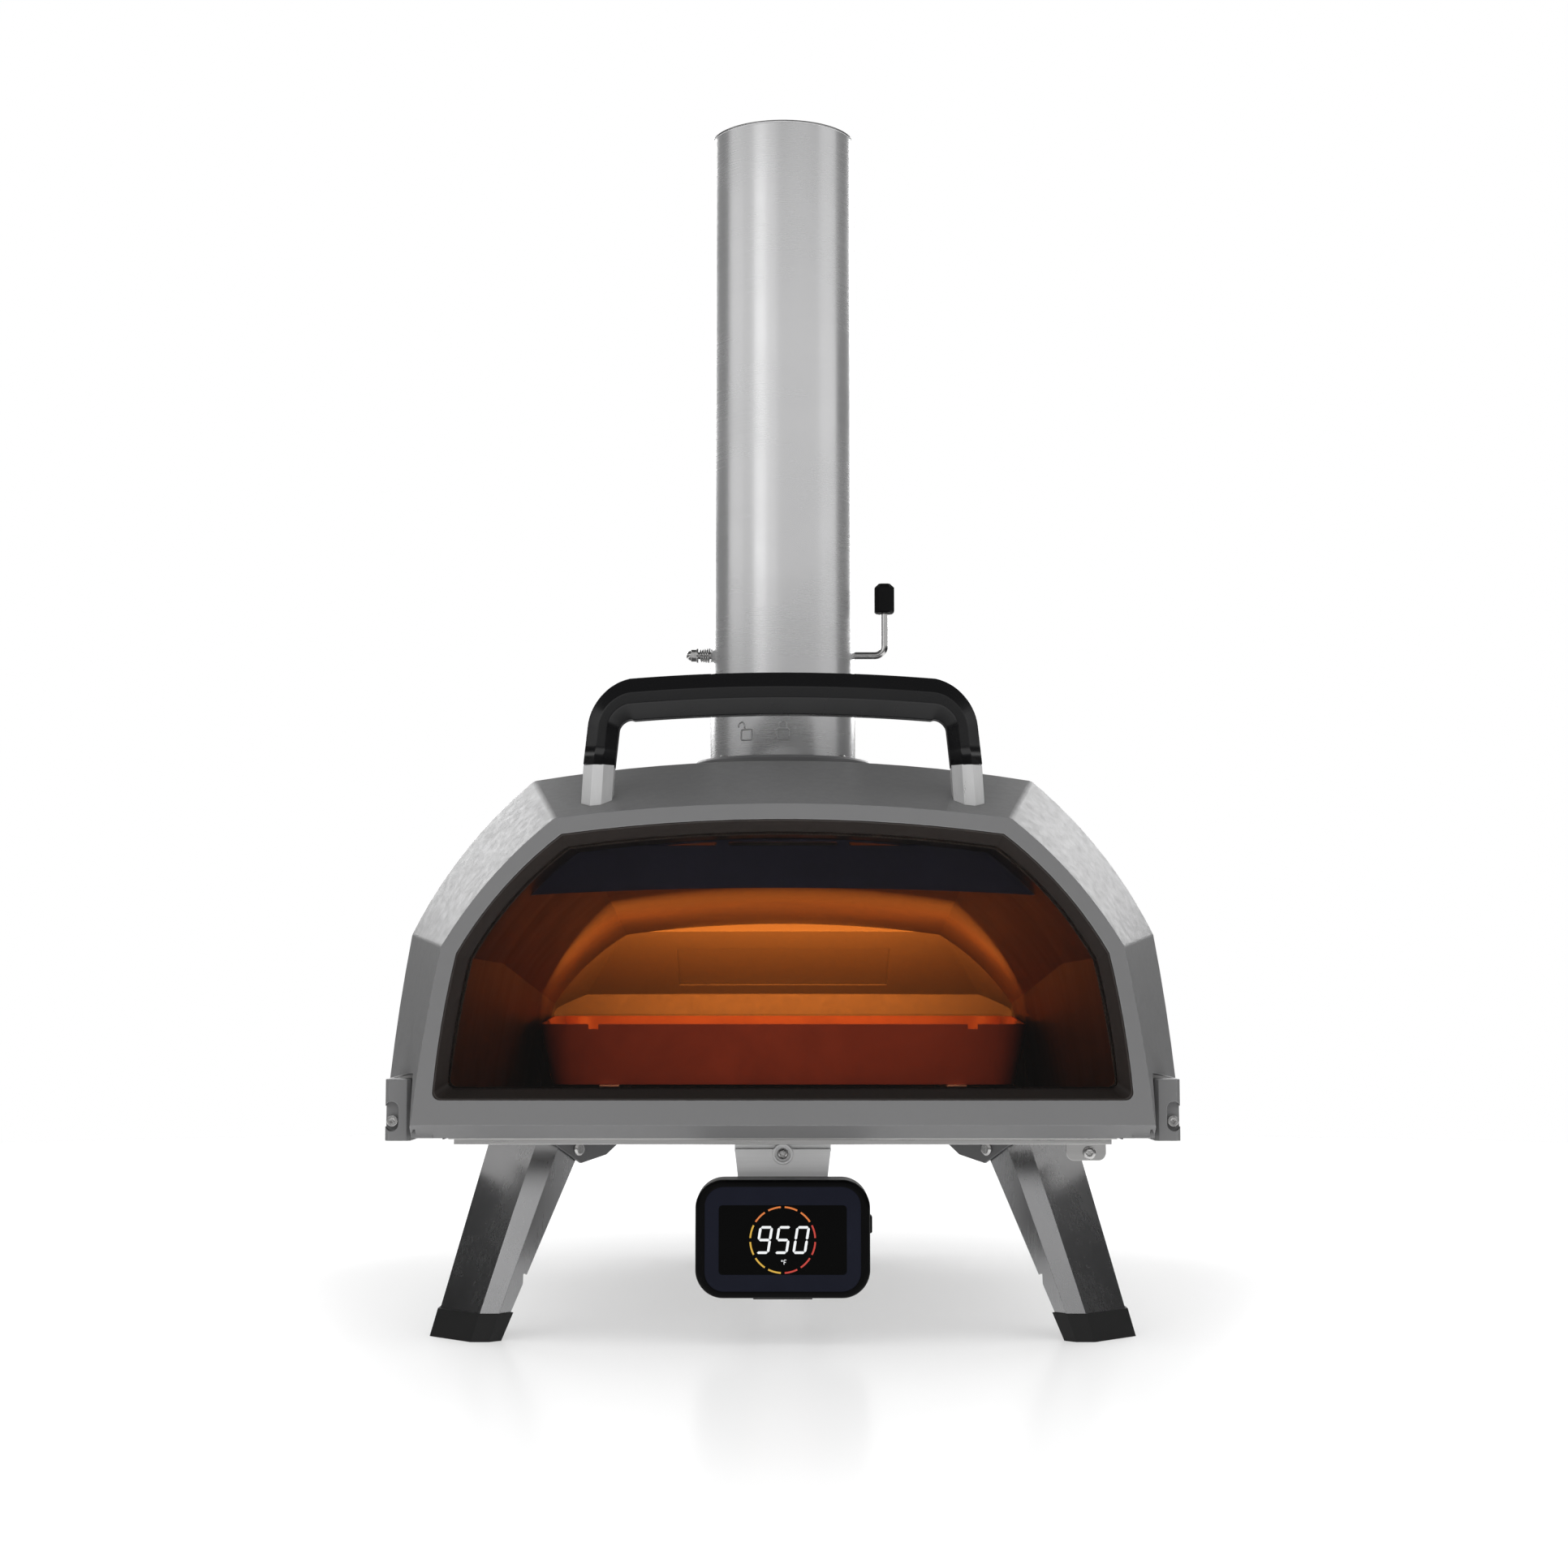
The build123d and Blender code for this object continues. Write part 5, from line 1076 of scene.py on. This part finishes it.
def softbox(name, place, aim, size, brightness, tone=(1.0, 1.0, 1.0)):
    """A rectangular light aimed at a point, unseen by the camera; at 1 it is as bright as a white wall."""
    light = bpy.data.lights.new(name, "AREA")
    light.shape = "RECTANGLE"
    light.size, light.size_y = size
    light.energy = brightness * math.pi * size[0] * size[1]
    light.color = tone
    lamp = bpy.data.objects.new(name, light)
    lamp.location = place
    lamp.rotation_euler = (Vector(aim) - Vector(place)).to_track_quat("-Z", "Y").to_euler()
    lamp.visible_camera = False
    lamp.visible_transmission = False
    bpy.context.scene.collection.objects.link(lamp)
    return lamp


def studio_world(stage):
    """White to the camera, and a softer grey to everything that it lights."""
    world = bpy.data.worlds.new("studio")
    bpy.context.scene.world = world
    world.use_nodes = True
    nodes = world.node_tree.nodes
    links = world.node_tree.links
    seen = nodes["Background"]
    seen.inputs["Strength"].default_value = stage.backdrop
    seen.inputs["Color"].default_value = (1.0, 1.0, 1.0, 1.0)
    path = nodes.new("ShaderNodeLightPath")
    last = None
    for strength, ray in ((stage.shine, None), (stage.fill, "Is Diffuse Ray"), (None, "Is Camera Ray")):
        if strength is None:
            shown = seen
        else:
            shown = nodes.new("ShaderNodeBackground")
            shown.inputs["Strength"].default_value = strength
        if ray is None:
            last = shown.outputs[0]
            continue
        mix = nodes.new("ShaderNodeMixShader")
        links.new(path.outputs[ray], mix.inputs["Fac"])
        links.new(last, mix.inputs[1])
        links.new(shown.outputs[0], mix.inputs[2])
        last = mix.outputs[0]
    links.new(last, nodes["World Output"].inputs["Surface"])


def floor(radius):
    """A pale round floor with a faint sheen and a little light of its own, to meet the backdrop."""
    mesh = bmesh.new()
    bmesh.ops.create_circle(mesh, cap_ends=True, segments=96, radius=radius)
    data = bpy.data.meshes.new("floor")
    mesh.to_mesh(data)
    mesh.free()
    ground = bpy.data.objects.new("floor", data)
    bpy.context.scene.collection.objects.link(ground)
    shader = Shader("pale_floor")
    shader.set(Base_Color=(0.92, 0.92, 0.92, 1.0), Roughness=0.25, Specular_IOR_Level=0.2,
               Emission_Color=(1.0, 1.0, 1.0, 1.0), Emission_Strength=0.30)
    data.materials.append(shader.material)


def dark_card(name, x, y):
    """A black card beside the oven, which only shows in what bright metal mirrors."""
    near = y - CARD_FRONT
    far = y + CARD_REAR
    corners = [(x, near, 0.0), (x, far, 0.0), (x, far, CARD_HEIGHT), (x, near, CARD_HEIGHT)]
    data = bpy.data.meshes.new(name)
    data.from_pydata(corners, [], [(0, 1, 2, 3)])
    card = bpy.data.objects.new(name, data)
    bpy.context.scene.collection.objects.link(card)
    shader = Shader(name)
    shader.set(Base_Color=(0.01, 0.01, 0.01, 1.0), Roughness=0.9)
    data.materials.append(shader.material)
    card.visible_camera = False
    card.visible_diffuse = False
    card.visible_shadow = False
    card.visible_transmission = False


class OVEN_OT_stage(bpy.types.Operator):
    """Lay the floor, hang the lights and place the camera"""
    bl_idname = "oven.stage"
    bl_label = "Stage"

    def execute(self, context):
        stage = context.scene.oven_stage
        studio_world(stage)
        floor(FLOOR_RADIUS)
        face_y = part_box("door_frame")[0].y
        middle = (0.0, face_y + 0.25, 0.35)
        for number, (first, last, brightness) in enumerate(FRONT_PANELS):
            self.front_panel(f"front_{number}", first, last, brightness * stage.key)
        for side in (-1, 1):
            place = (side * REAR_SIDE, face_y + REAR_DEPTH, LIGHT_HEIGHT)
            softbox(f"rear_{side}", place, middle, REAR_SIZE, stage.back)
            dark_card(f"card_{side}", side * CARD_SIDE, face_y)
        self.glow(stage)

        camera = bpy.data.cameras.new("camera")
        camera.lens = stage.lens
        camera.sensor_width = 36.0
        viewer = bpy.data.objects.new("camera", camera)
        viewer.location = (0.0008, face_y - stage.distance, stage.height)
        viewer.rotation_euler = (math.radians(90.0 + stage.tilt), 0.0, 0.0)
        context.scene.collection.objects.link(viewer)
        context.scene.camera = viewer
        context.scene.view_settings.view_transform = "Standard"
        return {"FINISHED"}

    def front_panel(self, name, first, last, brightness):
        """An upright panel of the ring round the flue, between two bearings in degrees."""
        low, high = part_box("chimney_tube")
        centre = (low + high) / 2
        bearing = math.radians((first + last) / 2)
        place = (centre.x + PANEL_REACH * math.sin(bearing), centre.y - PANEL_REACH * math.cos(bearing),
                 LIGHT_HEIGHT)
        width = 2 * PANEL_REACH * math.tan(math.radians((last - first) / 2))
        softbox(name, place, (centre.x, centre.y, LIGHT_HEIGHT), (width, PANEL_HEIGHT), brightness)

    def glow(self, stage):
        """Three warm lights: forward over the stone, up and back as flames go, and onto the tray's front."""
        low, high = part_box("tray_pan")
        forward = (0.0, low.y - 0.3, high.z + 0.02)
        up_and_back = (0.0, low.y + 0.20, high.z + 0.20)
        front = (0.0, low.y, high.z - 0.03)
        self.warm("fire", stage, (0.0, low.y + 0.09, high.z + 0.03), forward, FIRE)
        self.warm("flames", stage, (0.0, low.y + 0.06, high.z + 0.02), up_and_back, FLAMES)
        lamp = self.warm("firelight", stage, (0.0, low.y - 0.12, high.z + 0.06), front, FIRELIGHT)
        lamp.data.spread = math.radians(FIRELIGHT_SPREAD)

    def warm(self, name, stage, place, aim, light):
        """One of the fire's lights."""
        share, size, tone = light
        return softbox(name, place, aim, size, stage.glow * share, tone)


class OVEN_PT_panel(bpy.types.Panel):
    """Lists the oven's settings and its steps"""
    bl_idname = "OVEN_PT_panel"
    bl_label = "Pizza Oven"
    bl_space_type = "VIEW_3D"
    bl_region_type = "UI"
    bl_category = "Pizza Oven"

    def draw(self, context):
        layout = self.layout
        for group in PROPERTY_NAMES:
            box = layout.box()
            settings_group = getattr(context.scene, group)
            for name in settings_group.bl_rna.properties.keys():
                if name not in ("rna_type", "name"):
                    box.prop(settings_group, name)
        for operator in OPERATORS:
            layout.operator(operator.bl_idname)


GROUPS = (OvenFinishes, OvenGrip, OvenScrews, OvenReadout, OvenStage)
PROPERTY_NAMES = ("oven_finishes", "oven_grip", "oven_screws", "oven_readout", "oven_stage")
OPERATORS = (OVEN_OT_painted_metal, OVEN_OT_brushed_steel, OVEN_OT_plastic_and_rubber, OVEN_OT_chamber,
             OVEN_OT_handle_grip, OVEN_OT_screw_heads, OVEN_OT_flue_marks, OVEN_OT_readout, OVEN_OT_stage)


def register():
    for cls in (*GROUPS, *OPERATORS, OVEN_PT_panel):
        bpy.utils.register_class(cls)
    for name, group in zip(PROPERTY_NAMES, GROUPS):
        setattr(bpy.types.Scene, name, PointerProperty(type=group))


def unregister():
    for name in PROPERTY_NAMES:
        delattr(bpy.types.Scene, name)
    for cls in reversed((*GROUPS, *OPERATORS, OVEN_PT_panel)):
        bpy.utils.unregister_class(cls)


def main():
    register()
    bpy.ops.oven.painted_metal()
    bpy.ops.oven.brushed_steel()
    bpy.ops.oven.plastic_and_rubber()
    bpy.ops.oven.chamber()
    bpy.ops.oven.handle_grip()
    bpy.ops.oven.screw_heads()
    bpy.ops.oven.flue_marks()
    bpy.ops.oven.readout()
    bpy.ops.oven.stage()


if __name__ == "__main__":
    main()
